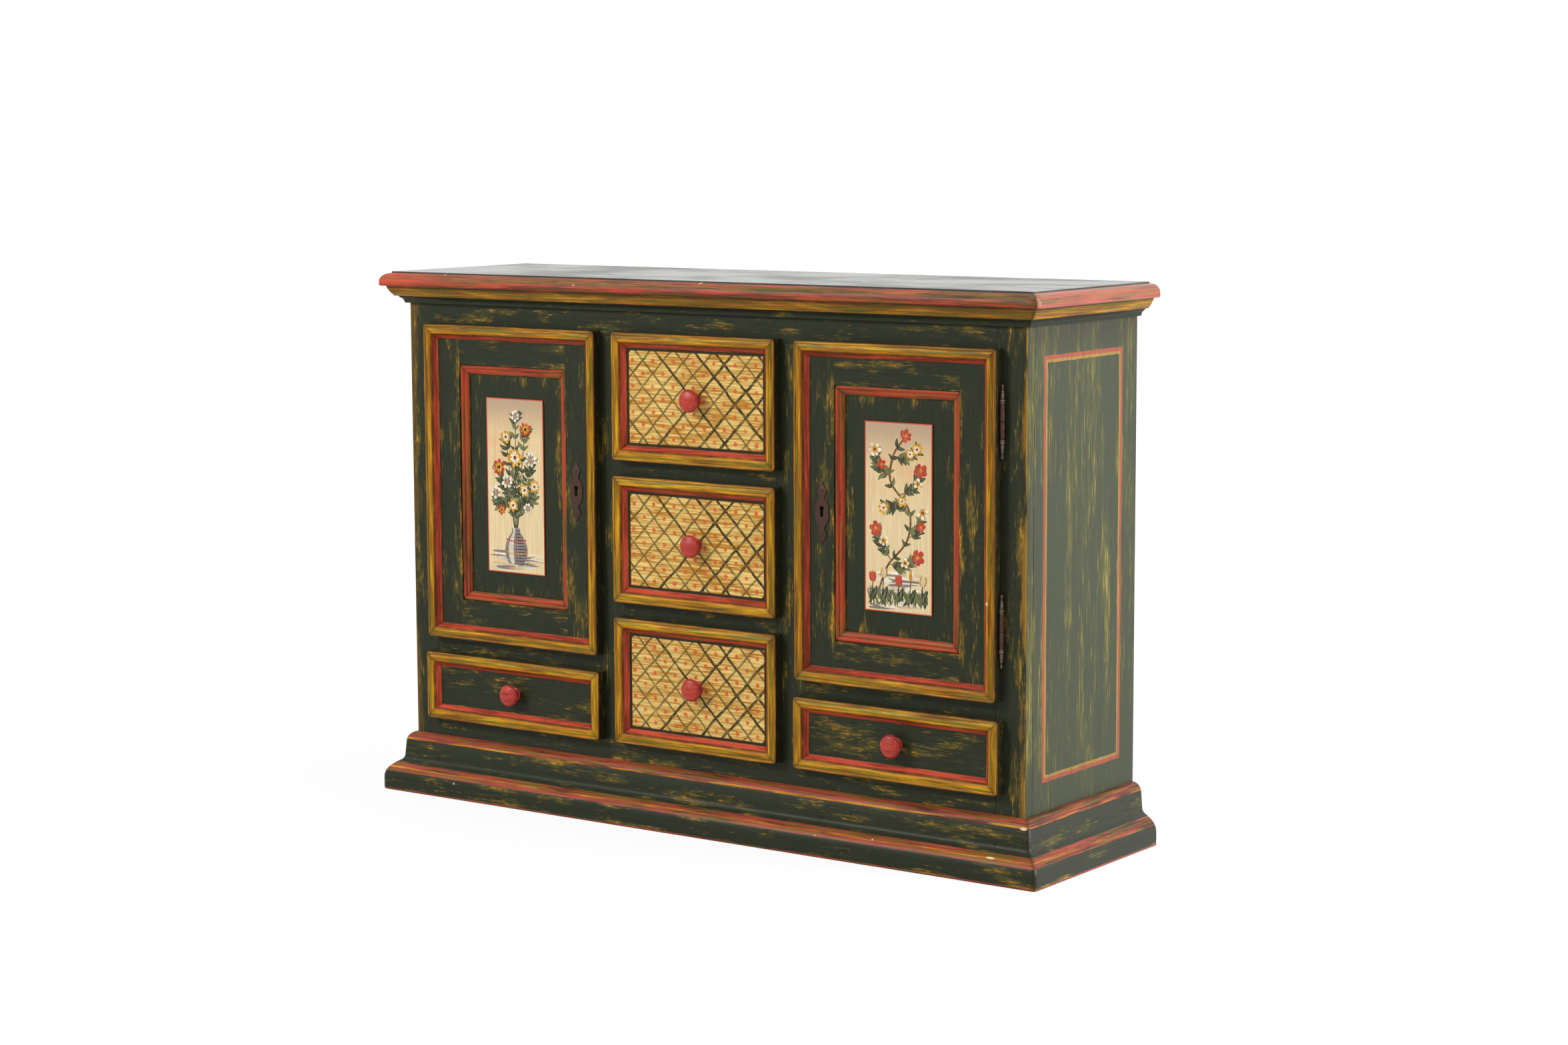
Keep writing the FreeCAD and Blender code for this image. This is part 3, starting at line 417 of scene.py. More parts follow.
@node_group(
    "rubbed_paint",
    "ShaderNodeTree",
    {"Grain": "Vector", "Paint": "Color", "Low": "Color", "Mid": "Color", "High": "Color", "Bias": "Float"},
    COAT,
)
def rubbed_group(nodes, given, out):
    """Paint rubbed thin along the grain, in patches of streaks that show two undercoats."""
    grain = given["Grain"]
    patch = nodes.noise(grain, (9, 38, 38), 3)
    streak = nodes.noise(grain, (24, 480, 480), 3)
    fine = nodes.noise(grain, (60, 1150, 1150), 2)
    fleck = nodes.noise(grain, (75, 290, 290), 2)
    haze = nodes.total((patch, 1.5), (streak, 0.5), (fleck, 0.3), (given["Bias"], 1.0), (-1.15, 1.0))
    specks = nodes.total(
        (patch, 1.0), (streak, 0.6), (fleck, 0.8), (fine, 0.3), (given["Bias"], 0.8), (-1.35, 1.0)
    )
    wear = nodes.smooth(haze, 0.05, 0.3)
    shade = nodes.smooth(streak, 0.3, 0.7)
    dark = nodes.mix(1.0, given["Paint"], (0.72, 0.74, 0.78), "MULTIPLY")
    color = nodes.mix(shade, dark, given["Paint"])
    color = nodes.mix(nodes.smooth(haze, 0.06, 0.32, 0.0, 0.7), color, given["Low"])
    color = nodes.mix(nodes.smooth(specks, 0.17, 0.33, 0.0, 0.8), color, given["Mid"])
    color = nodes.mix(nodes.smooth(specks, 0.3, 0.46), color, given["High"])
    nodes.feed(out["Color"], color)
    nodes.feed(out["Roughness"], nodes.total((fine, 0.2), (wear, 0.1), (0.3, 1.0)))
    nodes.feed(out["Height"], nodes.total((streak, 0.5), (fine, 0.5), (wear, -0.3)))
    nodes.feed(out["Wear"], wear)


@node_group(
    "brushed_paint",
    "ShaderNodeTree",
    {
        "Grain": "Vector", "Deep": "Color", "Low": "Color", "Mid": "Color", "High": "Color",
        "Glaze": "Color", "Glazed": "Float", "Bias": "Float",
    },
    COAT,
)
def brushed_group(nodes, given, out):
    """Paint brushed out in long streaks of four tones, with a glaze in places."""
    grain = given["Grain"]
    long = nodes.noise(grain, (11, 480, 480), 4, 0.6)
    patch = nodes.noise(grain, (8, 80, 80), 3)
    fine = nodes.noise(grain, (34, 1300, 1300), 2)
    tone = nodes.total((long, 0.8), (patch, 0.7), (fine, 0.2), (given["Bias"], 1.0), (-0.26, 1.0))
    color = nodes.mix(nodes.smooth(tone, 0.43, 0.55), given["Deep"], given["Low"])
    color = nodes.mix(nodes.smooth(tone, 0.51, 0.62), color, given["Mid"])
    color = nodes.mix(nodes.smooth(tone, 0.61, 0.74), color, given["High"])
    glazed = nodes.noise(nodes.vector("ADD", grain, (3.3, 0.7, 0.2)), (9, 240, 240), 4)
    glazed = nodes.times(nodes.smooth(glazed, 0.46, 0.62), given["Glazed"])
    nodes.feed(out["Color"], nodes.mix(glazed, color, given["Glaze"]))
    nodes.feed(out["Roughness"], nodes.total((fine, 0.2), (long, 0.1), (0.24, 1.0)))
    nodes.feed(out["Height"], nodes.total((long, 0.6), (fine, 0.4)))
    nodes.feed(out["Wear"], nodes.smooth(tone, 0.5, 0.58, 1.0, 0.0))


@node_group(
    "pine_wood",
    "ShaderNodeTree",
    {"Grain": "Vector", "Wood": "Color", "Ring": "Color"},
    {"Color": "Color", "Fibre": "Float"},
)
def pine_group(nodes, given, out):
    """Unpainted pine with its rings drawn out along the grain."""
    grain = given["Grain"]
    bend = nodes.noise(grain, (1.1, 9, 9), 2)
    rings = nodes.math("FRACT", nodes.times(bend, 11.0))
    late = nodes.times(nodes.smooth(rings, 0.1, 0.8), nodes.smooth(rings, 0.8, 1.0, 1.0, 0.0))
    fibre = nodes.noise(grain, (18, 520, 520), 4)
    stain = nodes.noise(grain, (3, 14, 14), 3)
    color = nodes.mix(nodes.times(late, 0.5), given["Wood"], given["Ring"])
    color = nodes.mix(nodes.smooth(fibre, 0.35, 0.7, 0.0, 0.4), color, given["Ring"])
    color = nodes.mix(nodes.smooth(stain, 0.4, 0.75, 0.0, 0.35), color, given["Ring"])
    nodes.feed(out["Color"], color)
    nodes.feed(out["Fibre"], fibre)


@node_group(
    "marks",
    "ShaderNodeTree",
    {"Place": "Vector", "Spacing": "Float", "Size": "Float"},
    {"Mark": "Float"},
)
def marks_group(nodes, given, out):
    """Small dents and specks scattered over a surface."""
    shaken = nodes.shaken(given["Place"], given["Place"], 300.0, (0.002, 0.002, 0.002))
    cells = nodes.add("ShaderNodeTexVoronoi", {"Vector": shaken, "Scale": given["Spacing"]})
    chance = nodes.parts(cells.outputs["Color"])[0]
    reach = nodes.times(nodes.smooth(chance, 0.72, 1.0), given["Size"])
    edge = nodes.minus(reach, cells.outputs["Distance"])
    nodes.feed(out["Mark"], nodes.smooth(edge, 0.0, 0.012))


def new_material(name):
    material = bpy.data.materials.new(name)
    material.use_nodes = True
    return material, *opened(material)


def opened(material):
    return Nodes(material.node_tree), material.node_tree.nodes["Principled BSDF"]


def varnish(nodes, shader, color, roughness, height, depth=0.0004, gloss=0.12):
    """Satin varnish over a painted surface."""
    nodes.feed(shader.inputs["Base Color"], color)
    nodes.feed(shader.inputs["Roughness"], roughness)
    shader.inputs["Specular IOR Level"].default_value = gloss
    nodes.bump(shader, height, depth, 0.35)


def place_of(nodes):
    return nodes.add("ShaderNodeTexCoord").outputs["Object"]


def grain_along(nodes, axis):
    """Places with the grain's direction first, for a board whose grain runs along one axis."""
    x, y, z = nodes.parts(place_of(nodes))
    order = {"x": (x, z, y), "y": (y, z, x), "z": (z, x, y)}[axis]
    return nodes.combine(*order)


def paint_of(nodes, grain, kind, bias=0.0):
    """One of the paints, on a surface with that grain."""
    c = colours()
    rubs = {
        "green": (c.green, c.rub_low, c.rub_mid, c.rub_high),
        "side": (c.side_green, c.side_low, c.side_mid, c.side_high),
    }
    if kind in rubs:
        paint, low, mid, high = rubs[kind]
        return nodes.group(rubbed_group(), grain=grain, paint=paint, low=low, mid=mid, high=high, bias=bias)
    tones = {
        "ochre": (c.ochre_deep, c.ochre_low, c.ochre, c.ochre_high, c.olive, 0.9),
        "bead": (c.bead_deep, c.bead_low, c.bead, c.bead_high, c.olive, 0.45),
        "amber": (c.ochre_low, c.bead, c.amber, c.ochre_high, c.ochre_deep, 0.5),
        "cove": (c.bead_deep, c.bead_low, c.bead, c.bead_high, c.olive, 0.8),
        "umber": (c.umber_deep, c.umber_low, c.umber, c.umber_high, c.olive, 0.6),
        # The slope paint is a painted lit tone of the red.
        "slope": (c.red_low, c.red, c.slope, c.slope, c.red_low, 0.5),
        "red": (c.red_deep, c.red_low, c.red, c.red_high, c.olive, 0.35),
        "dim": (c.red_deep, c.red_low, c.red, c.red, c.olive, 0.55),
        "knob": (c.knob_deep, c.knob_low, c.knob, c.knob_high, c.red_deep, 0.2),
        "dull": (c.dull_deep, c.dull_low, c.dull, c.dull_high, c.olive, 0.65),
        "mixed": (c.dull_deep, c.dull_low, c.bead, c.bead_high, c.dull, 0.8),
    }
    deep, low, mid, high, glaze, glazed = tones[kind]
    return nodes.group(
        brushed_group(), grain=grain, deep=deep, low=low, mid=mid, high=high, glaze=glaze,
        glazed=glazed, bias=bias
    )


def pine_of(nodes, grain):
    return nodes.group(pine_group(), grain=grain, wood=colours().pine, ring=colours().pine_ring)


def spots(nodes, places, ragged=1.4):
    """A mask of ragged spots on the front, each given as x, z and half sizes in millimetres."""
    place = place_of(nodes)
    x, y, z = nodes.parts(place)
    shake = nodes.scaled(nodes.noise(place, (420, 420, 420), 2), ragged, 1 - ragged / 2)
    mask = 0.0
    for spot_x, spot_z, half_x, half_z in places:
        across = nodes.math("DIVIDE", nodes.minus(x, spot_x * MM), half_x * MM)
        up = nodes.math("DIVIDE", nodes.minus(z, spot_z * MM), half_z * MM)
        square = nodes.scaled(across, across, nodes.times(up, up))
        away = nodes.minus(shake, square)
        mask = nodes.most(mask, nodes.smooth(away, -0.1, 0.2))
    return nodes.times(mask, nodes.math("LESS_THAN", y, FRONT + 0.001))


def with_marks(nodes, color, spacing=34.0, size=0.05):
    marks = nodes.group(marks_group(), place=place_of(nodes), spacing=spacing, size=size)
    return nodes.mix(nodes.times(marks["Mark"], 0.8), color, colours().glaze)


def green_paint(name, axis, bias=0.03, cracks=()):
    """Worn green paint; cracks are dark spots on the front."""
    material, nodes, shader = new_material(name)
    paint = paint_of(nodes, grain_along(nodes, axis), "green", bias)
    color = with_marks(nodes, paint["Color"])
    if cracks:
        color = nodes.mix(spots(nodes, cracks, 1.8), color, colours().glaze)
    varnish(nodes, shader, color, paint["Roughness"], paint["Height"])
    return material


def stile_paint():
    """The front's stiles: worn green, rubbed at the outer corners; the outer faces have the sides' paint."""
    c = colours()
    material, nodes, shader = new_material("stile_paint")
    grain = grain_along(nodes, "z")
    x, _, z = nodes.parts(place_of(nodes))
    away = nodes.minus(HALF_WIDTH, nodes.math("ABSOLUTE", x))
    paint = paint_of(nodes, grain, "green", nodes.smooth(away, 0.0, 0.03, 0.08, 0.03))
    worn = nodes.total(
        (nodes.smooth(away, 0.0, 0.026, 0.42, 0.0), 1.0), (nodes.noise(grain, (6, 40, 40), 4), 1.8),
        (nodes.noise(grain, (26, 420, 420), 3), 0.7), (nodes.smooth(z, 0.6, 0.78, 0.0, 0.1), 1.0),
        (-1.44, 1.0),
    )
    share = nodes.times(nodes.smooth(x, -0.1, 0.1, 0.3, 0.9), nodes.smooth(away, 0.016, 0.04, 1.0, 0.0))
    color = nodes.mix(nodes.times(nodes.smooth(worn, 0.0, 0.3), share), paint["Color"], c.rub_mid)
    edge = nodes.times(nodes.smooth(away, 0.001, 0.004, 0.8, 0.0), share)
    color = nodes.mix(nodes.times(edge, nodes.smooth(worn, -0.05, 0.35)), color, c.rub_high)
    flank = nodes.smooth(away, 0.0002, 0.0006, 1.0, 0.0)
    side = paint_of(nodes, side_grain(nodes), "side", 0.12)
    color = with_marks(nodes, nodes.mix(flank, color, side["Color"]))
    varnish(nodes, shader, color, paint["Roughness"], paint["Height"])
    nodes.feed(shader.inputs["Coat Weight"], nodes.times(flank, 0.34))
    shader.inputs["Coat Roughness"].default_value = 0.42
    return material


def side_grain(nodes):
    """Places on the sides, whose streaks are longer and wider."""
    return nodes.vector("MULTIPLY", grain_along(nodes, "z"), (0.32, 0.8, 0.8))


def top_paint():
    """The top: worn green under a polish that is gone in blotches."""
    material = green_paint("top_paint", "x", bias=-0.02)
    nodes, shader = opened(material)
    grain = grain_along(nodes, "x")
    blotch = nodes.total((nodes.noise(grain, (4, 8, 8), 4), 1.0), (nodes.noise(grain, (3, 60, 60), 4), 0.12))
    nodes.feed(shader.inputs["Coat Weight"], nodes.smooth(blotch, 0.46, 0.7, 0.82, 0.34))
    material.node_tree.nodes["Bump"].inputs["Distance"].default_value = 0.0001
    shader.inputs["Coat Roughness"].default_value = 0.16
    return material


def middle_of(low, high):
    """The middle of a box, seen from the front."""
    return (low.x + high.x) / 2, (low.z + high.z) / 2


def half_of(low, high):
    """Half the width and half the height of a box, seen from the front."""
    return (high.x - low.x) / 2, (high.z - low.z) / 2


def rectangle_reach(nodes, across, up, centre, half):
    """How far a place lies outside a rectangle; inside it is negative."""
    sideways = nodes.minus(nodes.gap(across, centre[0]), half[0])
    upwards = nodes.minus(nodes.gap(up, centre[1]), half[1])
    return nodes.most(sideways, upwards)


def side_paint():
    """The sides: worn green with a painted border of a red and an ochre line."""
    s = sizes()
    material, nodes, shader = new_material("side_paint")
    x, y, z = nodes.parts(place_of(nodes))
    bias = nodes.smooth(nodes.minus(y, FRONT), 0.015, 0.035, 0.16, 0.11)
    bias = nodes.plus(bias, nodes.smooth(z, 0.12, 0.3, -0.1, 0.0))
    grain = side_grain(nodes)
    green = paint_of(nodes, grain, "side", bias)
    faded = nodes.smooth(nodes.noise(grain, (30, 240, 240), 4), 0.4, 0.75, 0.0, 0.6)
    wobble = nodes.scaled(nodes.noise(place_of(nodes), (40, 40, 40), 2), 0.003, -0.0015)
    centre = (FRONT + 0.185, 0.5255)
    half = (0.133, 0.3635)
    reach = nodes.plus(rectangle_reach(nodes, y, z, centre, half), wobble)
    soft = 0.0004
    inside = nodes.smooth(reach, -soft, soft, 1.0, 0.0)
    past_red = nodes.smooth(reach, -s.border_red - soft, -s.border_red + soft, 1.0, 0.0)
    total = s.border_red + s.border_ochre
    past_ochre = nodes.smooth(reach, -total - soft, -total + soft, 1.0, 0.0)
    color = nodes.mix(inside, green["Color"], nodes.mix(faded, colours().side_red, green["Color"]))
    color = nodes.mix(past_red, color, nodes.mix(faded, colours().side_ochre, green["Color"]))
    color = nodes.mix(past_ochre, color, green["Color"])
    # Painted shade: the sides darken towards glaze over the last 60 mm below the cornice.
    shade_under_cornice = nodes.smooth(z, CORNICE_BOTTOM - 0.06, CORNICE_BOTTOM, 0.0, 0.4)
    color = nodes.mix(shade_under_cornice, color, colours().glaze)
    bare = nodes.math("LESS_THAN", nodes.math("ABSOLUTE", x), HALF_WIDTH - 0.004)
    color = nodes.mix(bare, color, pine_of(nodes, grain_along(nodes, "z"))["Color"])
    varnish(nodes, shader, with_marks(nodes, color), green["Roughness"], green["Height"], gloss=0.34)
    return material


def door_paint(side):
    """The door's stiles and rails: the grain runs up the stiles and across the rails."""
    material, nodes, shader = new_material(f"{side}_door_paint")
    low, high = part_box(f"{side}_door_bead")
    x, y, z = nodes.parts(place_of(nodes))
    centre, half = middle_of(low, high), half_of(low, high)
    on_rail = nodes.math("LESS_THAN", nodes.gap(x, centre[0]), half[0])
    grain = nodes.mix_vectors(on_rail, nodes.combine(z, x, y), nodes.combine(x, z, y))
    inner = nodes.math("ABSOLUTE", rectangle_reach(nodes, x, z, centre, half))
    close = nodes.smooth(inner, 0.0, 0.01, 0.13, 0.0)
    bias = nodes.plus(close, nodes.smooth(inner, 0.0, 0.045, 0.07, 0.02))
    paint = paint_of(nodes, grain, "green", nodes.plus(bias, inner_face(nodes, f"{side}_door_frame")))
    varnish(nodes, shader, with_marks(nodes, paint["Color"]), paint["Roughness"], paint["Height"])
    return material


def inner_face(nodes, node):
    """Less rubbing on a node's inner face."""
    y = nodes.parts(place_of(nodes))[1]
    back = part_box(node)[1].y
    return nodes.smooth(y, back - 0.002, back - 0.001, 0.0, -0.22)


def banded_paint(name, axis, bands, quirks=(), chips=(), dents=(), bias=0.0, foot=0.0, gloss=0.12):
    """Paint in bands across a moulding's section.

    bands are (start, paint) along the section's reach or height in millimetres, and quirks are (place, width,
    share) of the grooves and edges that get dark glaze and painted shade. Chips and dents are spots on the
    front, and foot adds rubbing at the section's foot.
    """
    c = colours()
    material, nodes, shader = new_material(name)
    grain = nodes.attribute("grain")
    corner = nodes.attribute("corner", "Fac")
    across = nodes.math("DIVIDE", nodes.parts(grain)[1 if axis == "reach" else 2], MM)
    wobble = nodes.scaled(nodes.noise(grain, (50, 200, 200), 3), 1.4, -0.7)
    wandering = nodes.plus(across, wobble)
    if foot:
        bias = nodes.smooth(across, 3.0, 18.0, bias + foot, bias)
    coats = {}
    for _, kind in bands:
        if kind not in coats:
            coats[kind] = paint_of(nodes, grain, kind, bias)
    first = coats[bands[0][1]]
    color = first["Color"]
    for start, kind in bands[1:]:
        past = nodes.smooth(wandering, start - 0.3, start + 0.3)
        color = nodes.mix(past, color, coats[kind]["Color"])
    shaded = nodes.smooth(corner, 0.0, 0.009, 0.45, 0.0)
    joint = nodes.smooth(corner, 0.0002, 0.0011, 0.85, 0.0)
    glaze = nodes.most(shaded, joint)
    # Quirks: dark glaze together with painted shade in grooves and along shaded edges.
    for at, width, share in quirks:
        away = nodes.gap(across, at)
        glaze = nodes.most(glaze, nodes.smooth(away, width * 0.3, width, share, 0.0))
    patchy_glaze_and_shade = nodes.times(glaze, nodes.smooth(nodes.noise(grain, (30, 90, 90), 3), 0.25, 0.6, 0.4, 1.0))
    color = nodes.mix(patchy_glaze_and_shade, color, c.glaze)
    color = with_marks(nodes, color, 48.0)
    height = first["Height"]
    if dents:
        mask = spots(nodes, dents)
        color = nodes.mix(nodes.times(mask, 0.7), color, c.glaze)
        height = nodes.scaled(mask, -2.5, height)
    if chips:
        mask = spots(nodes, chips)
        color = nodes.mix(mask, color, c.chip)
        height = nodes.scaled(mask, -1.5, height)
    varnish(nodes, shader, color, first["Roughness"], height, gloss=gloss)
    return material


def nosing_paint():
    """Red with an umber band that fades at the left; the ends have hardly any umber and a brighter polish."""
    material = banded_paint(
        "nosing_paint",
        "height",
        [(0, "red"), (13.6, "umber"), (20.8, "red")],
        [(24.6, 0.7, 0.85), (0.4, 2.4, 0.7), (13.8, 2.4, 0.4)],
        [(30.6, 996.5, 2.4, 1.2), (-568, 996.6, 2, 1), (-248, 986.5, 4, 0.6)],
        bias=-0.06,
        gloss=0.16,
    )
    nodes, shader = opened(material)
    x, y = nodes.parts(place_of(nodes))[:2]
    past_side = nodes.minus(nodes.math("ABSOLUTE", x), HALF_WIDTH)
    on_end = nodes.math("GREATER_THAN", past_side, nodes.minus(FRONT, y))
    grain = nodes.attribute("grain")
    red = paint_of(nodes, grain, "dull", 0.08)
    banded = shader.inputs["Base Color"].links[0].from_socket
    bright = paint_of(nodes, grain, "slope", 0.08)
    banded = nodes.mix(nodes.smooth(x, -0.76, -0.4, 0.6, 0.0), banded, bright["Color"])
    color = nodes.mix(nodes.times(on_end, 0.8), banded, red["Color"])
    nodes.feed(shader.inputs["Base Color"], color)
    nodes.feed(shader.inputs["Coat Weight"], nodes.times(on_end, 0.7))
    shader.inputs["Coat Roughness"].default_value = 0.35
    return material


def lattice_paint(drawer):
    """Cream ground with a lattice of green lines and a dot in each diamond, rubbed along the grain."""
    s, c = sizes(), colours()
    material, nodes, shader = new_material(f"{drawer}_lattice")
    low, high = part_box(f"{drawer}_drawer_front")
    middle_x, middle_z = middle_of(low, high)
    place = nodes.vector("SUBTRACT", place_of(nodes), (middle_x, 0, middle_z))
    x, _, z = nodes.parts(place)
    grain = grain_along(nodes, "x")
    patch = nodes.noise(grain, (14, 60, 60), 3)
    streak = nodes.noise(grain, (16, 330, 330), 4, 0.65)
    fine = nodes.noise(grain, (40, 900, 900), 3)
    scratch = nodes.noise(nodes.vector("ADD", grain, (7.1, 0.3, 0.0)), (20, 560, 560), 3)
    rubbed = nodes.total((streak, 1.0), (patch, 0.4), (fine, 0.25))
    ground = nodes.mix(nodes.smooth(streak, 0.36, 0.6), c.cream_high, c.cream)
    ground = nodes.mix(nodes.smooth(rubbed, 0.8, 0.95, 0.0, 0.9), ground, c.straw)
    scratched = nodes.total((scratch, 1.0), (patch, 0.4))
    ground = nodes.mix(nodes.smooth(scratched, 0.78, 0.88, 0.0, 0.85), ground, c.cream_deep)
    drawn = nodes.parts(nodes.shaken(nodes.combine(x, 0.0, z), place_of(nodes), 22.0, (0.007, 0, 0.007)))
    u = nodes.math("DIVIDE", drawn[0], s.cell_width)
    v = nodes.math("DIVIDE", drawn[2], s.cell_height)
    slope = math.hypot(1 / s.cell_width, 1 / s.cell_height)
    half_line = s.line_width * slope / 2
    thin = nodes.scaled(nodes.noise(place_of(nodes), (90, 90, 90), 3), half_line * 1.2, half_line * 0.4)
    lines = 0.0
    offsets = []
    for diagonal in (nodes.plus(u, v), nodes.minus(u, v)):
        offset = nodes.minus(nodes.math("FRACT", diagonal), 0.5)
        offsets.append(offset)
        to_line = nodes.minus(0.5, nodes.math("ABSOLUTE", offset))
        count = nodes.math("FLOOR", nodes.plus(diagonal, 0.5))
        chance = nodes.chance(count)
        soft = nodes.minus(nodes.times(thin, nodes.smooth(chance, 0.0, 1.0, 0.95, 1.3)), to_line)
        strength = nodes.smooth(chance, 0.0, 0.6, 0.72, 1.0)
        lines = nodes.most(lines, nodes.times(nodes.smooth(soft, -0.006, 0.012), strength))
    across = nodes.times(nodes.plus(*offsets), s.cell_width / 2)
    up = nodes.times(nodes.minus(*offsets), s.cell_height / 2)
    from_centre = nodes.add("ShaderNodeVectorMath", {0: nodes.combine(across, 0.0, up)}, operation="LENGTH")
    ragged = nodes.scaled(nodes.noise(place_of(nodes), (330, 330, 330), 2), 0.004, s.dot_radius - 0.002)
    dots = nodes.smooth(nodes.minus(ragged, from_centre.outputs["Value"]), -0.0012, 0.0008)
    worn = nodes.times(nodes.smooth(rubbed, 0.8, 1.02, 1.0, 0.55), nodes.smooth(patch, 0.3, 0.5, 0.7, 1.0))
    half = [size - 0.028 for size in half_of(low, high)]
    reach = rectangle_reach(nodes, x, z, (0.0, 0.0), half)
    # Painted line and painted shade: a dark border along the moulding's inner edge.
    border = nodes.smooth(reach, -0.0058, -0.0040)
    color = nodes.mix(nodes.times(dots, nodes.times(worn, 0.9)), ground, c.dot)
    color = nodes.mix(nodes.times(lines, worn), color, c.lattice)
    color = nodes.mix(border, color, nodes.mix(0.5, c.lattice, c.glaze))
    outside = nodes.smooth(reach, 0.001, 0.002)
    color = nodes.mix(outside, color, c.green)
    roughness = nodes.scaled(fine, 0.2, 0.3)
    varnish(
        nodes,
        shader,
        with_marks(nodes, color, 60.0, 0.09),
        roughness,
        nodes.total((streak, 0.6), (fine, 0.4)),
    )
    return material


def panel_paint(side):
    """The raised panel: green margin, and a pale field with a thin red border."""
    c = colours()
    material, nodes, shader = new_material(f"{side}_panel_paint")
    low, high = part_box(f"{side}_door_panel")
    x, y, z = nodes.parts(place_of(nodes))
    centre = middle_of(low, high)
    grain = grain_along(nodes, "z")
    half = (0.069, 0.1645)
    reach = rectangle_reach(nodes, x, z, centre, half)
    margin_bias = nodes.smooth(reach, 0.012, 0.036, -0.16, 0.07)
    bias = nodes.plus(margin_bias, inner_face(nodes, f"{side}_door_panel"))
    green = paint_of(nodes, grain, "green", bias)
    up = nodes.math("DIVIDE", nodes.minus(z, centre[1]), half[1])
    cool = nodes.mix(nodes.smooth(up, 0.45, 1.0), c.ground, c.ground_cool)
    peach = nodes.smooth(nodes.gap(up, 0.5), 0.0, 0.45, 0.7, 0.0)
    blotch = nodes.smooth(nodes.noise(place_of(nodes), (18, 18, 18), 3), 0.35, 0.65)
    warm = nodes.mix(nodes.times(peach, blotch), cool, c.ground_warm)
    brush = nodes.smooth(nodes.noise(grain, (14, 420, 420), 4), 0.32, 0.7, 0.4, 0.0)
    ground = nodes.mix(brush, warm, c.ground_cool)
    line = nodes.smooth(reach, -0.0022, -0.0016)
    ground = nodes.mix(line, ground, c.red_high)
    front = nodes.math("LESS_THAN", y, PANEL_MARGIN - 0.0025)
    on_field = nodes.times(front, nodes.smooth(reach, -0.0001, 0.0001, 1.0, 0.0))
    color = nodes.mix(on_field, green["Color"], ground)
    varnish(nodes, shader, with_marks(nodes, color, 70.0, 0.06), green["Roughness"], green["Height"])
    return material


def knob_paint():
    material, nodes, shader = new_material("knob_paint")
    grain = grain_along(nodes, "x")
    red = paint_of(nodes, grain, "knob", 0.06)
    varnish(
        nodes,
        shader,
        with_marks(nodes, red["Color"], 90.0, 0.06),
        red["Roughness"],
        red["Height"],
        0.0002,
        0.36,
    )
    return material


def iron_finish(name, rusty):
    """Dark brown iron with brown patches; a higher value of rusty spreads them."""
    material, nodes, shader = new_material(name)
    place = place_of(nodes)
    cloud = nodes.noise(place, (220, 220, 220), 5)
    fine = nodes.noise(place, (1400, 1400, 1400), 3)
    rust = nodes.mix(nodes.smooth(cloud, 0.62 - rusty, 0.8 - rusty), colours().iron, colours().rust)
    nodes.feed(shader.inputs["Base Color"], rust)
    nodes.feed(shader.inputs["Roughness"], nodes.total((cloud, 0.3), (fine, 0.15), (0.2, 1.0)))
    shader.inputs["Metallic"].default_value = 0.55
    nodes.bump(shader, nodes.total((cloud, 0.7), (fine, 0.3)), 0.0003)
    return material


def hinge_finish(middle, away):
    """Brown iron with a painted highlight at the ends of each barrel; the barrels' middles lie away from the
    middle.
    """
    material = iron_finish("hinge_finish", 0.3)
    nodes, shader = opened(material)
    z = nodes.parts(place_of(nodes))[2]
    from_middle = nodes.gap(z, middle)
    from_barrel = nodes.gap(from_middle, away)
    # Painted highlight: the barrels' ends turn to a bright iron colour.
    ends = nodes.smooth(from_barrel, 29 * MM, 32 * MM, 0.0, 0.5)
    brown = shader.inputs["Base Color"].links[0].from_socket
    nodes.feed(shader.inputs["Base Color"], nodes.mix(ends, brown, colours().iron_highlight))
    return material


def pine_finish(name, axis, boards=None, box=None):
    """Unpainted pine.

    boards gives the first board's edge and the spacing of boards that lie side by side. box gives the corners
    of a drawer's box, whose side walls have their grain from front to back.
    """
    material, nodes, shader = new_material(name)
    grain = grain_along(nodes, axis)
    if box:
        low, high = box
        x = nodes.parts(place_of(nodes))[0]
        away = nodes.gap(x, middle_of(low, high)[0])
        on_wall = nodes.math("GREATER_THAN", away, half_of(low, high)[0] - DRAWER_WALL)
        grain = nodes.mix_vectors(on_wall, grain, grain_along(nodes, "y"))
    if boards:
        count = nodes.math("DIVIDE", nodes.minus(nodes.parts(grain)[1], boards[0]), boards[1])
        board = nodes.math("FLOOR", count)
        grain = nodes.vector("ADD", grain, nodes.combine(nodes.times(board, 1.7), board, 0.0))
        darker = nodes.times(nodes.chance(board), 0.3)
    wood = pine_of(nodes, grain)
    color = wood["Color"]
    if boards:
        color = nodes.mix(darker, color, colours().pine_ring)
    nodes.feed(shader.inputs["Base Color"], with_marks(nodes, color, 22.0, 0.08))
    nodes.feed(shader.inputs["Roughness"], nodes.scaled(wood["Fibre"], 0.2, 0.52))
    nodes.bump(shader, wood["Fibre"], 0.0004, 0.4)
    return material


def outline(points, pieces=6):
    """A section's points in metres, with its arcs cut into short runs."""
    path = [Vector(points[0])]
    for step in points[1:]:
        if not isinstance(step[0], tuple):
            path.append(Vector(step))
            continue
        start, middle, end = path[-1], Vector(step[0]), Vector(step[1])
        centre, radius = circle_through(start, middle, end)
        first = math.atan2(start.y - centre.y, start.x - centre.x)
        turn_middle = (math.atan2(middle.y - centre.y, middle.x - centre.x) - first) % math.tau
        turn = (math.atan2(end.y - centre.y, end.x - centre.x) - first) % math.tau
        if turn_middle > turn:
            turn -= math.tau
        for index in range(1, pieces + 1):
            angle = first + turn * index / pieces
            path.append(centre + radius * Vector((math.cos(angle), math.sin(angle))))
    return [point * MM for point in path]


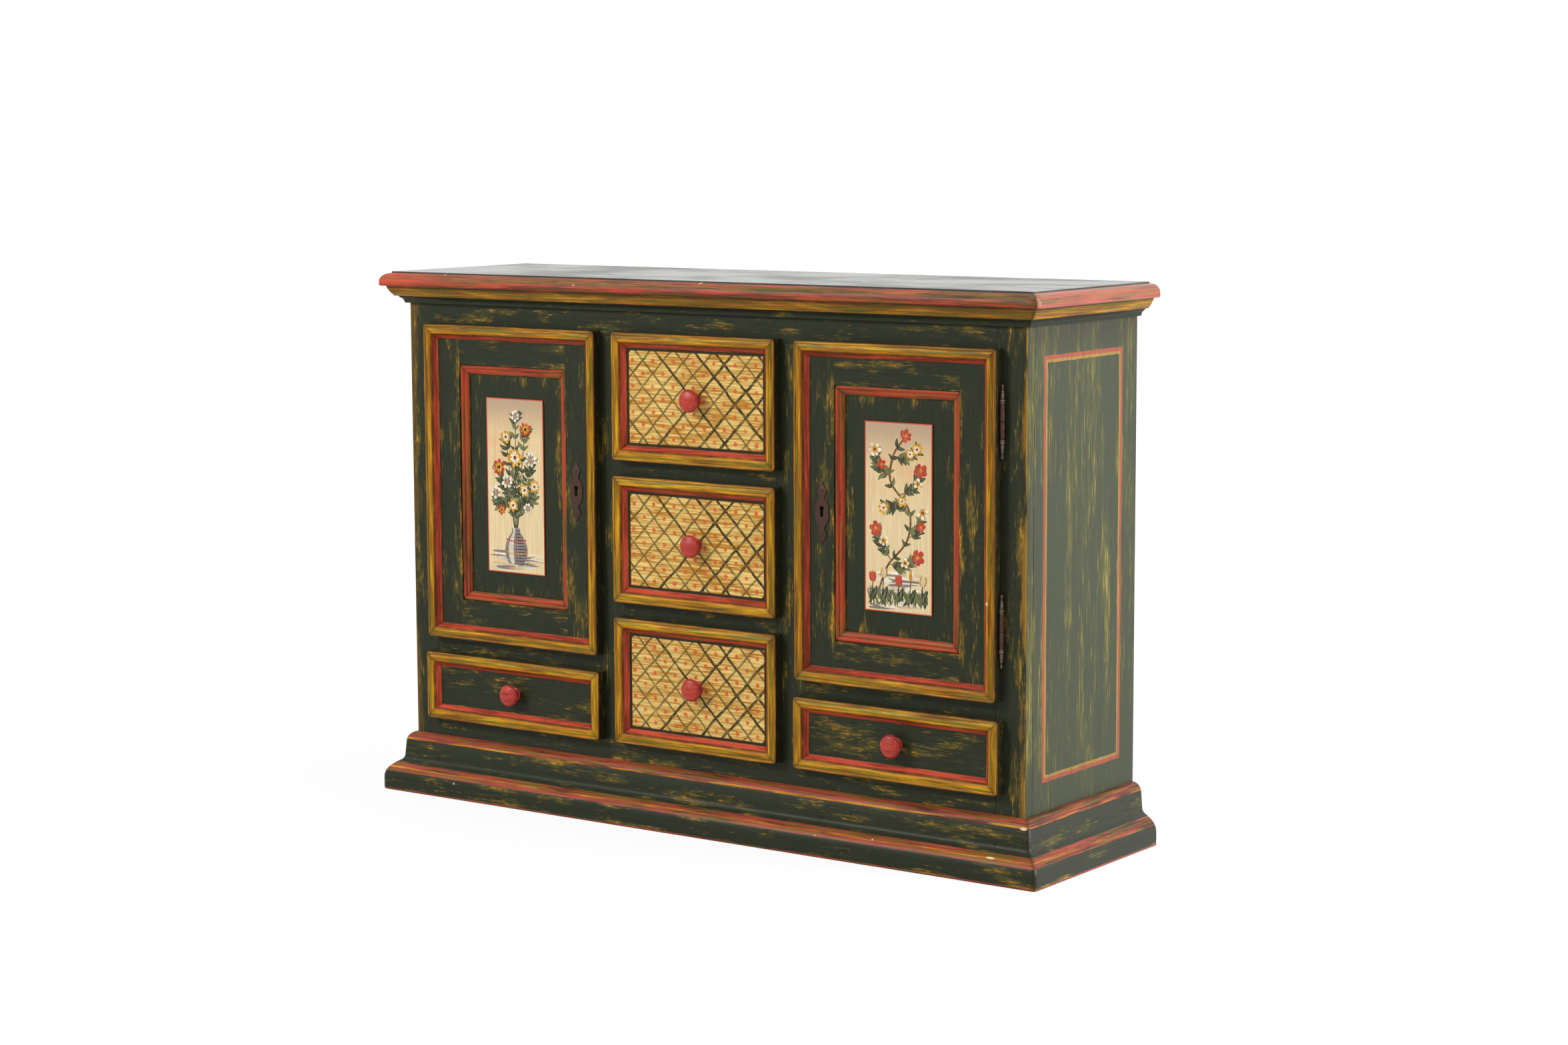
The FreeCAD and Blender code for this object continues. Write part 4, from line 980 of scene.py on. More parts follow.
def circle_through(a, b, c):
    """Centre and radius of the circle through three points."""
    d = 2 * (a.x * (b.y - c.y) + b.x * (c.y - a.y) + c.x * (a.y - b.y))
    squares = [p.length_squared for p in (a, b, c)]
    x = (squares[0] * (b.y - c.y) + squares[1] * (c.y - a.y) + squares[2] * (a.y - b.y)) / d
    y = (squares[0] * (c.x - b.x) + squares[1] * (a.x - c.x) + squares[2] * (b.x - a.x)) / d
    centre = Vector((x, y))
    return centre, (a - centre).length


def new_object(name, mesh):
    piece = bpy.data.objects.new(name, mesh)
    bpy.context.scene.collection.objects.link(piece)
    return piece


def poured(bm, mesh):
    """A bmesh with a mesh added to it; the mesh is removed."""
    bm.from_mesh(mesh)
    bpy.data.meshes.remove(mesh)
    return bm


def finished(bm, name, smooth_angle=38):
    """A mesh from a bmesh, with its faces outwards and only its sharp edges left sharp."""
    bmesh.ops.recalc_face_normals(bm, faces=bm.faces)
    mesh = bpy.data.meshes.new(name)
    bm.to_mesh(mesh)
    bm.free()
    mesh.shade_smooth()
    mesh.set_sharp_from_angle(angle=math.radians(smooth_angle))
    return mesh


def dress(name, mesh, body, slot, material, *nodes):
    """A new piece that rides on a body and stands for CAD nodes."""
    piece = new_object(name, mesh)
    piece.data.materials.append(material)
    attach(piece, body)
    if nodes:
        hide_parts(*nodes)
    return piece


def finish_node(node, material, edge=None):
    """A finish for a CAD node that keeps its own shape, with its edges eased."""
    piece = NODES[node]
    piece.data.materials.clear()
    piece.data.materials.append(material)
    if edge:
        weld = piece.modifiers.new("joined", "WELD")
        weld.merge_threshold = 0.00001
        bevel = piece.modifiers.new("eased", "BEVEL")
        bevel.width = edge
        bevel.segments = 2
        bevel.limit_method = "ANGLE"
        bevel.angle_limit = math.radians(40)
        bevel.use_clamp_overlap = True


@node_group(
    "moulding_run",
    "GeometryNodeTree",
    {
        "Section": "Geometry", "Length": "Float", "Rings": "Int", "Start Mitre": "Float",
        "End Mitre": "Float", "Rounding": "Float", "Unevenness": "Float", "Seed": "Float",
        "Finish": "Material",
    },
    {"Moulding": "Geometry"},
)
def moulding_tree(nodes, given, out):
    """A straight run of moulding: a section drawn along X and cut to its mitres, a little uneven."""
    section = nodes.geometry("MeshToCurve", {"Mesh": given["Section"]})
    far_end = nodes.combine(given["Length"], 0.0, 0.0)
    line = nodes.geometry("CurvePrimitiveLine", {"End": far_end})
    line = nodes.geometry("ResampleCurve", {"Curve": line, "Count": given["Rings"]})
    line = nodes.geometry("SetCurveNormal", {"Curve": line}, mode="Z_UP")
    swept = nodes.geometry("CurveToMesh", {"Curve": line, "Profile Curve": section, "Fill Caps": True})
    position = nodes.geometry("InputPosition")
    along, reach, height = nodes.parts(position)
    from_start = gap_from_mitre(nodes, along, given["Start Mitre"])
    from_end = gap_from_mitre(nodes, nodes.minus(given["Length"], along), given["End Mitre"])
    corner = nodes.math("MINIMUM", from_start, from_end)
    swept = stored(nodes, swept, "corner", corner, "FLOAT")
    shifted = nodes.vector("ADD", position, nodes.combine(given["Seed"], 0.0, 0.0))
    swept = stored(nodes, swept, "grain", shifted, "FLOAT_VECTOR")
    share = nodes.math("DIVIDE", along, given["Length"])
    at_start = nodes.times(nodes.minus(1.0, share), given["Start Mitre"])
    at_end = nodes.times(share, given["End Mitre"])
    shear = nodes.times(nodes.minus(at_start, at_end), reach)
    outward = nodes.math("LESS_THAN", nodes.plus(given["Start Mitre"], given["End Mitre"]), 0.0)
    inward_radius = nodes.most(nodes.minus(given["Rounding"], reach), 0.0)
    radius = nodes.add(
        "ShaderNodeMix",
        {0: outward, 2: inward_radius, 3: nodes.math("MINIMUM", given["Rounding"], reach)},
        data_type="FLOAT",
    ).outputs[0]
    gone = nodes.math("DIVIDE", corner, nodes.most(radius, 1e-6))
    turn = nodes.times(nodes.most(nodes.minus(1.0, gone), 0.0), math.pi / 4)
    reached = nodes.times(radius, nodes.math("SINE", turn))
    back = nodes.minus(nodes.minus(radius, reached), corner)
    back = nodes.times(nodes.most(back, 0.0), nodes.math("LESS_THAN", corner, radius))
    nearer = nodes.scaled(nodes.math("LESS_THAN", from_start, from_end), 2.0, -1.0)
    drop = nodes.times(radius, nodes.minus(1.0, nodes.math("COSINE", turn)))
    side = nodes.scaled(outward, -2.0, 1.0)
    cut = nodes.combine(
        nodes.scaled(back, nearer, nodes.plus(along, shear)),
        nodes.scaled(drop, side, reach),
        height,
    )
    moved = nodes.geometry("SetPosition", {"Geometry": swept, "Position": cut})
    grain = nodes.geometry("InputNamedAttribute", {"Name": "grain"}, data_type="FLOAT_VECTOR")
    from_corner = nodes.geometry("InputNamedAttribute", {"Name": "corner"}, data_type="FLOAT")
    strays = nodes.scaled(nodes.noise(grain, (14, 90, 90), 3), 2.0, -1.0)
    strays = nodes.times(strays, nodes.smooth(from_corner, 0.0, 0.02))
    push = nodes.vector("SCALE", nodes.geometry("InputNormal"))
    nodes.feed(push.node.inputs["Scale"], nodes.times(strays, given["Unevenness"]))
    worn = nodes.geometry("SetPosition", {"Geometry": moved, "Offset": push})
    nodes.feed(out["Moulding"], nodes.painted(worn, given["Finish"]))


@node_group(
    "nail_heads",
    "GeometryNodeTree",
    {"Places": "Geometry", "Radius": "Float", "Rise": "Float", "Finish": "Material"},
    {"Nails": "Geometry"},
)
def nail_tree(nodes, given, out):
    """Flat nail heads with an eased rim, one on each point, standing on a surface that faces back."""
    ball = nodes.add("GeometryNodeMeshUVSphere", {"Segments": 20, "Rings": 8, "Radius": 1.0}).outputs["Mesh"]
    size = nodes.combine(given["Radius"], given["Rise"], given["Radius"])
    laid = nodes.geometry("InstanceOnPoints", {"Points": given["Places"], "Instance": ball, "Scale": size})
    nodes.feed(out["Nails"], nodes.painted(laid, given["Finish"]))


def gap_from_mitre(nodes, distance, mitre):
    """The distance from a mitred end; from a square end it is put far off."""
    square = nodes.math("LESS_THAN", nodes.math("ABSOLUTE", mitre), 0.5)
    return nodes.scaled(square, 10.0, distance)


def stored(nodes, geometry, name, value, kind):
    return nodes.geometry(
        "StoreNamedAttribute",
        {"Geometry": geometry, "Name": name, "Value": value},
        data_type=kind,
        domain="POINT",
    )


def grown(tree, base, **values):
    """The plain mesh that a geometry tree makes from a base mesh."""
    carrier = new_object("carrier", base)
    modifier = carrier.modifiers.new("grow", "NODES")
    modifier.node_group = tree
    for item in tree.interface.items_tree:
        key = item.name.lower().replace(" ", "_")
        if item.in_out == "INPUT" and key in values:
            modifier[item.identifier] = values[key]
    view = bpy.context.evaluated_depsgraph_get()
    mesh = bpy.data.meshes.new_from_object(
        carrier.evaluated_get(view), preserve_all_data_layers=True, depsgraph=view
    )
    bpy.data.objects.remove(carrier)
    return mesh


def section_mesh(points):
    """A closed section as loose edges, turned so that reach and height come out along Y and Z."""
    path = outline(points)
    corners = [(-point.x, -point.y, 0) for point in path]
    mesh = bpy.data.meshes.new("section")
    count = len(corners)
    mesh.from_pydata(corners, [(index, (index + 1) % count) for index in range(count)], [])
    return mesh


def run_of_moulding(bm, points, material, start, ways, long, mitres, seed, rounding, step):
    """Adds one run to a bmesh, from its start; ways are its run and its section's reach and height."""
    mesh = grown(
        moulding_tree(),
        section_mesh(points),
        length=long,
        rings=max(2, round(long / step)),
        start_mitre=mitres[0],
        end_mitre=mitres[1],
        rounding=rounding,
        unevenness=sizes().unevenness,
        seed=seed,
        finish=material,
    )
    turn = Matrix(ways).transposed().to_4x4()
    mesh.transform(Matrix.Translation(start) @ turn)
    poured(bm, mesh)


def moulded_frame(name, low, high, base, points, material, seed):
    """Four mitred runs round a rectangle on the front, as one mesh."""
    s = sizes()
    bm = bmesh.new()
    x, z, forward = Vector((1, 0, 0)), Vector((0, 0, 1)), Vector((0, -1, 0))
    width, height = high.x - low.x, high.z - low.z
    runs = [
        (Vector((low.x, base, low.z)), x, z, width),
        (Vector((high.x, base, low.z)), z, -x, height),
        (Vector((high.x, base, high.z)), -x, -z, width),
        (Vector((low.x, base, high.z)), -z, x, height),
    ]
    for index, (start, along, inward, long) in enumerate(runs):
        ways = (along, inward, forward)
        run_of_moulding(
            bm, points, material, start, ways, long, (1, 1), seed + 3.7 * index, s.frame_corner, s.step
        )
    return finished(bm, name)


def skirt_runs(bm, points, material, bottom, sides, seed, rounding):
    """The front or the two returns of a moulding that runs round the carcass."""
    step = sizes().skirt_step
    x, y, z = Vector((1, 0, 0)), Vector((0, 1, 0)), Vector((0, 0, 1))
    if "front" in sides:
        start = Vector((-HALF_WIDTH, FRONT, bottom))
        run_of_moulding(
            bm, points, material, start, (x, -y, z), 2 * HALF_WIDTH, (-1, -1), seed, rounding, step
        )
    for side, sign in SIDES.items():
        if side in sides:
            start = Vector((sign * HALF_WIDTH, FRONT, bottom))
            ways = (y, sign * x, z)
            run_of_moulding(
                bm, points, material, start, ways, BACK - FRONT, (-1, 0), seed + 5 * sign, rounding, step
            )


def turned(bm, points, foot, axis, segments=48):
    """Adds a turned piece: the section's reach is its radius and its height runs from foot along axis."""
    path = outline(points, 8)
    axis = Vector(axis).normalized()
    side = axis.orthogonal().normalized()
    other = axis.cross(side)
    rings = []
    for point in path:
        centre = Vector(foot) + axis * point.y
        if point.x < 1e-6:
            rings.append([bm.verts.new(centre)])
            continue
        ring = []
        for index in range(segments):
            angle = math.tau * index / segments
            ring.append(bm.verts.new(centre + point.x * (side * math.cos(angle) + other * math.sin(angle))))
        rings.append(ring)
    for lower, upper in zip(rings, rings[1:]):
        for index in range(segments):
            after = (index + 1) % segments
            corners = [lower[index % len(lower)], lower[after % len(lower)],
                       upper[after % len(upper)], upper[index % len(upper)]]
            unique = list(dict.fromkeys(corners))
            if len(unique) > 2:
                bm.faces.new(unique)
    for ring in (rings[0], rings[-1]):
        if len(ring) > 1:
            bm.faces.new(ring)


def eased_box(bm, low, high, edge):
    """Adds a box with eased edges."""
    low, high = Vector(low), Vector(high)
    centre = (low + high) / 2
    made = bmesh.ops.create_cube(
        bm, size=1.0, matrix=Matrix.Translation(centre) @ Matrix.Diagonal((*(high - low), 1))
    )
    edges = list({e for v in made["verts"] for e in v.link_edges})
    bmesh.ops.bevel(bm, geom=edges, offset=edge, segments=2, affect="EDGES", profile=0.5)


class CREDENZA_OT_carcass(bpy.types.Operator):
    """Paints the top, sides and face frame"""

    bl_idname = "credenza.carcass"
    bl_label = "Carcass"

    def execute(self, context):
        s = sizes()
        finish_node("top_board", top_paint(), s.edge)
        side = side_paint()
        for node in ("left_side", "right_side"):
            finish_node(node, side)
        finish_node("face_frame_stiles", stile_paint(), s.edge)
        cracks = [(-191, 925.5, 14, 0.8), (-170, 925, 6, 0.7), (-601, 932, 9, 0.8), (-596, 930.5, 4, 0.6)]
        finish_node("face_frame_rails", green_paint("rail_paint", "x", cracks=cracks))
        return {"FINISHED"}


class CREDENZA_OT_inside(bpy.types.Operator):
    """Gives the unpainted boards, the drawer boxes and the locks their finish"""

    bl_idname = "credenza.inside"
    bl_label = "Inside and back"

    def execute(self, context):
        s = sizes()
        upright = pine_finish("pine_upright", "z")
        lying = pine_finish("pine_lying", "x")
        iron = iron_finish("iron_finish", 0.15)
        low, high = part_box("back_boards")
        pitch = (high.x - low.x + s.board_gap) / BACK_BOARDS
        finish_node("back_boards", pine_finish("back_board_pine", "z", (low.x, pitch)), BOARD_EDGE)
        finish_node("partitions", upright, BOARD_EDGE)
        for node in (
            "bottom_board", "cupboard_floors", "shelves", "shelf_pins", "drawer_runners", "drawer_guides"
        ):
            finish_node(node, lying)
        for drawer in DRAWERS:
            node = f"{drawer}_drawer_box"
            finish_node(node, pine_finish(f"{drawer}_box_pine", "x", box=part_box(node)))
            finish_node(f"{drawer}_drawer_bottom", lying)
        for side in SIDES:
            finish_node(f"{side}_door_lock_case", iron)
            finish_node(f"{side}_door_lock_bolt", iron)
        finish_node("hinge_pins", iron)
        self.nails(low, high, pitch, iron)
        return {"FINISHED"}

    def nails(self, low, high, pitch, iron):
        """Rows of nails that hold the back boards to the bottom, the shelf and the top."""
        s = sizes()
        rows = [sum((corner.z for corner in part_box(node)), 0.0) / 2 for node in ("bottom_board", "shelves")]
        rows.append(high.z - s.nail_margin)
        places = []
        for index in range(BACK_BOARDS):
            for share in (0.2, 0.8):
                for row in rows:
                    places.append((low.x + pitch * (index + share), high.y, row))
        base = bpy.data.meshes.new("nail_places")
        base.from_pydata(places, [], [])
        mesh = grown(nail_tree(), base, radius=s.nail_radius, rise=s.nail_rise, finish=iron)
        dress("back_nails", finished(poured(bmesh.new(), mesh), "nails"), "carcass", "iron", iron)


class CREDENZA_OT_skirts(bpy.types.Operator):
    """Makes the plinth, the cornice and the nosing round the top"""

    bl_idname = "credenza.skirts"
    bl_label = "Plinth, cornice and nosing"

    def execute(self, context):
        s = sizes()
        # The dull red band and the dark quirk along the plinth's foot, up to 4 mm high, are painted shadow
        # with a painted red bounce where the plinth meets the floor.
        bands = [
            (0, "dull"), (4, "green"), (37, "dull"), (43.6, "mixed"), (46.4, "dull"), (52.2, "green"),
            (96.8, "mixed"), (100.6, "dull"),
        ]
        quirks = [(96, 0.9, 0.5), (0, 4, 0.65), (101.4, 1.2, 0.4)]
        plinth = banded_paint(
            "plinth_paint",
            "height",
            bands,
            quirks,
            [
                (691.5, 97, 7, 2.6),
                (641, 45, 9, 1.5),
                (283, 38.5, 1.5, 1),
                (401, 45.5, 1.8, 1.1),
                (-553, 31, 1.3, 2.2),
            ],
            [(280, 64, 4.5, 5), (638.6, 64.5, 4.5, 5), (-616, 66.5, 4.5, 4), (-530, 18, 3, 5)],
            bias=0.04,
            foot=0.06,
        )
        returns = banded_paint(
            "plinth_return_paint", "height", bands, quirks, bias=-0.06, foot=0.28, gloss=0.26
        )
        # The cornice's quirk where the cove meets the green strip is painted shade under the cove as well as
        # glaze.
        cornice = banded_paint(
            "cornice_paint", "height", [(0, "green"), (12.4, "cove")],
            [(12.6, 2.6, 0.8), (33, 5, 0.6)], bias=-0.04
        )
        nosing = nosing_paint()
        for name, points, material, bottom, sides, slot, rounding in (
            ("plinth_front", PLINTH_SECTION, plinth, 0.0, ("front",), "green_paint", s.plinth_corner),
            ("plinth_returns", PLINTH_SECTION, returns, 0.0, tuple(SIDES), "green_paint", s.plinth_corner),
            (
                "cornice",
                CORNICE_SECTION,
                cornice,
                CORNICE_BOTTOM,
                ("front", *SIDES),
                "ochre_paint",
                s.cornice_corner,
            ),
            (
                "top_nosing",
                NOSING_SECTION,
                nosing,
                TOP_UNDERSIDE,
                ("front", *SIDES),
                "red_paint",
                s.nosing_corner,
            ),
        ):
            bm = bmesh.new()
            skirt_runs(bm, points, material, bottom, sides, 11.0, rounding)
            dress(f"{name}_run", finished(bm, name), "carcass", slot, material, name)
        return {"FINISHED"}


class CREDENZA_OT_doors(bpy.types.Operator):
    """Paints the doors and makes their mouldings and beads"""

    bl_idname = "credenza.doors"
    bl_label = "Doors"

    def execute(self, context):
        bands = [(0, "dim"), (17, "ochre")]
        # The bead's dark quirks at its outer and inner edges are painted shade as well as glaze.
        bead = banded_paint(
            "bead_paint", "reach", bands, [(0.2, 1.2, 0.8), (8.3, 0.8, 0.25), (17.3, 1.1, 0.8)]
        )
        ochre = frame_paint("door_moulding_paint", -0.06)
        for seed, side in enumerate(SIDES):
            body = f"{side}_door"
            finish_node(f"{side}_door_frame", door_paint(side))
            finish_node(f"{side}_door_panel", panel_paint(side))
            low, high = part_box(f"{side}_door_moulding")
            mesh = moulded_frame(
                f"{side}_door_moulding", low, high, LIP_FACE, FRAME_MOULDING, ochre, 20 * seed
            )
            dress(f"{side}_door_frame_moulding", mesh, body, "ochre_paint", ochre, f"{side}_door_moulding")
            low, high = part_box(f"{side}_door_bead")
            mesh = moulded_frame(
                f"{side}_door_bead", low, high, PANEL_MARGIN, BEAD_SECTION, bead, 20 * seed + 7
            )
            dress(f"{side}_door_panel_bead", mesh, body, "red_paint", bead, f"{side}_door_bead")
        return {"FINISHED"}


def frame_paint(name, bias):
    """Ochre bead and torus with a red slope inside, dark glaze and painted shade in the quirks."""
    # The slopes take the brighter slope red, a painted lit tone.
    bands = [(-1, "green"), (0.25, "bead"), (5.9, "ochre"), (13.0, "amber"), (19.6, "slope"), (27.4, "ochre")]
    # The quirks at the outer edge, where the torus meets the slope and at the slope's foot are painted shade
    # as well as glaze.
    quirks = [(0.4, 2.2, 0.5), (5.9, 1.2, 0.15), (19.0, 3.2, 0.68), (27.8, 1.2, 0.85)]
    return banded_paint(name, "reach", bands, quirks, [(619.6, 474, 2.5, 3)], bias=bias)


@node_group(
    "strokes",
    "GeometryNodeTree",
    {"Places": "Geometry", "Corners": "Int", "Depth": "Float", "Finish": "Material"},
    {"Strokes": "Geometry"},
)
def stroke_tree(nodes, given, out):
    """Brush strokes: a thin tapered disc on each point, laid by the point's own attributes."""
    position = nodes.geometry("InputPosition")
    disc = nodes.add(
        "GeometryNodeMeshCylinder", {"Vertices": given["Corners"], "Radius": 1.0, "Depth": 1.0}
    ).outputs["Mesh"]
    disc = stored(nodes, disc, "local", position, "FLOAT_VECTOR")
    places = stored(nodes, given["Places"], "centre", position, "FLOAT_VECTOR")
    laid = nodes.geometry("InstanceOnPoints", {"Points": places, "Instance": disc})
    whole = nodes.geometry("RealizeInstances", {"Geometry": laid})

    def named(attribute, kind="FLOAT"):
        return nodes.geometry("InputNamedAttribute", {"Name": attribute}, data_type=kind)

    x, y, z = nodes.parts(named("local", "FLOAT_VECTOR"))
    along = nodes.times(x, nodes.times(named("long"), 0.5))
    taper = nodes.minus(1.0, nodes.times(named("pointed"), x))
    across = nodes.times(nodes.times(y, taper), nodes.times(named("wide"), 0.5))
    curve = nodes.times(nodes.times(x, x), nodes.times(named("bend"), named("long")))
    across = nodes.plus(across, curve)
    cosine = nodes.math("COSINE", named("turn"))
    sine = nodes.math("SINE", named("turn"))
    u = nodes.minus(nodes.times(along, cosine), nodes.times(across, sine))
    v = nodes.scaled(along, sine, nodes.times(across, cosine))
    upper = nodes.math("GREATER_THAN", z, 0.0)
    foot = nodes.times(given["Depth"], -0.5)
    lift = nodes.scaled(upper, nodes.plus(named("level"), given["Depth"]), foot)
    spread = nodes.combine(u, nodes.times(lift, -1.0), v)
    moved = nodes.vector("ADD", named("centre", "FLOAT_VECTOR"), spread)
    shaped = nodes.geometry("SetPosition", {"Geometry": whole, "Position": moved})
    nodes.feed(out["Strokes"], nodes.painted(shaped, given["Finish"]))


def stroke_paint():
    """Paint of the brush strokes: each has its own tint, thinner at its start."""
    material, nodes, shader = new_material("stroke_paint")
    tint = nodes.attribute("tint", "Color")
    local = nodes.attribute("local")
    start = nodes.smooth(nodes.parts(local)[0], -1.0, 0.5, 0.3, 0.0)
    hairs = nodes.noise(grain_along(nodes, "z"), (60, 700, 700), 3)
    dark = nodes.mix(1.0, tint, (0.55, 0.52, 0.5), "MULTIPLY")
    color = nodes.mix(nodes.plus(start, nodes.smooth(hairs, 0.35, 0.7, 0.3, 0.0)), tint, dark)
    color = nodes.mix(nodes.smooth(hairs, 0.5, 0.75, 0.0, 0.22), color, colours().petal_pale)
    varnish(nodes, shader, color, nodes.scaled(hairs, 0.2, 0.4), hairs, 0.0002)
    return material


def smooth_path(points, pieces=6):
    """Points on a smooth curve through the given ones."""
    knots = [Vector(point) for point in points]
    knots = [2 * knots[0] - knots[1], *knots, 2 * knots[-1] - knots[-2]]
    path = []
    for a, b, c, d in zip(knots, knots[1:], knots[2:], knots[3:]):
        for index in range(pieces):
            s = index / pieces
            bend = (2 * a - 5 * b + 4 * c - d) * s**2
            turn = (3 * b - a - 3 * c + d) * s**3
            path.append(0.5 * ((2 * b) + (c - a) * s + bend + turn))
    path.append(knots[-2])
    return path


class Brush:
    """Lays the brush strokes of one picture, in millimetres from the middle of its field."""

    half_width = 66.4
    half_height = 162.0

    def __init__(self, seed):
        self.dice = random.Random(seed)
        self.strokes = []

    def stroke(self, u, v, turn, long, wide, tint, pointed=0.3, bend=0.0):
        """One stroke; it is left out where it would cross the picture's border."""
        reach_u = abs(math.cos(turn)) * long / 2 + abs(math.sin(turn)) * wide / 2
        reach_v = abs(math.sin(turn)) * long / 2 + abs(math.cos(turn)) * wide / 2
        if abs(u) + reach_u > self.half_width or abs(v) + reach_v > self.half_height:
            return
        shade = self.dice.uniform(0.8, 1.12)
        self.strokes.append(
            (u, v, turn, long, wide, pointed, bend, [min(1.0, part * shade) for part in tint])
        )

    def stem(self, points, wide, tint):
        path = smooth_path(points)
        for a, b in zip(path, path[1:]):
            way = b - a
            middle = (a + b) / 2
            self.stroke(middle.x, middle.y, math.atan2(way.y, way.x), way.length * 1.5, wide, tint, 0.0)
        return path

    def leaf(self, root, turn, long, tint, vein):
        centre = root + Vector((math.cos(turn), math.sin(turn))) * long * 0.5
        bend = self.dice.uniform(-0.14, 0.14)
        self.stroke(centre.x, centre.y, turn, long, long * 0.38, tint, 0.45, bend)
        self.stroke(centre.x, centre.y, turn, long * 0.7, long * 0.08, vein, 0.3, bend)

    def leaves(self, path, long, tints, vein, first=2, every=1):
        """Leaves on both sides of a path."""
        for index in range(first, len(path) - 1, every):
            way = path[index + 1] - path[index]
            heading = math.atan2(way.y, way.x)
            for side in (-1, 1):
                turn = heading + side * self.dice.uniform(0.55, 1.15)
                self.leaf(
                    path[index], turn, long * self.dice.uniform(0.7, 1.25), self.dice.choice(tints), vein
                )

    def flower(self, u, v, wide, petals, tint, inner, heart):
        """Two rings of petals round a dotted heart."""
        start = self.dice.uniform(0, math.tau)
        for ring, share, paint in ((0, 1.0, tint), (1, 0.64, inner)):
            for index in range(petals):
                turn = start + math.tau * (index + 0.5 * ring) / petals + self.dice.uniform(-0.14, 0.14)
                long = wide * 0.5 * share * self.dice.uniform(0.9, 1.1)
                away = long * 0.55
                broad = 4.2 * away / petals * 1.5
                self.stroke(
                    u + away * math.cos(turn), v + away * math.sin(turn), turn, long, broad, paint, -0.35
                )
        self.stroke(u, v, 0.0, wide * 0.24, wide * 0.22, heart, 0.0)
        for index in range(7):
            turn = math.tau * index / 7
            away = wide * 0.15
            x, y = u + away * math.cos(turn), v + away * math.sin(turn)
            self.stroke(x, y, turn, wide * 0.06, wide * 0.05, inner, 0.0)

    def tulip(self, u, v, turn, long, tint, inner):
        for lean, share, paint in ((-0.42, 0.92, tint), (0.42, 0.92, tint), (0.0, 1.0, inner)):
            way = turn + lean
            centre = Vector((u, v)) + Vector((math.cos(way), math.sin(way))) * long * 0.42
            self.stroke(centre.x, centre.y, turn + lean * 0.5, long * share, long * 0.4, paint, 0.35)

    def wash(self, low, high, count, tints):
        """Broad level strokes between two heights."""
        for _ in range(count):
            long = self.dice.uniform(30, 70)
            u = self.dice.uniform(long / 2 - 66, 66 - long / 2)
            v = self.dice.uniform(low, high)
            turn = self.dice.uniform(-0.05, 0.05)
            self.stroke(u, v, turn, long, self.dice.uniform(3, 7), self.dice.choice(tints), 0.2)


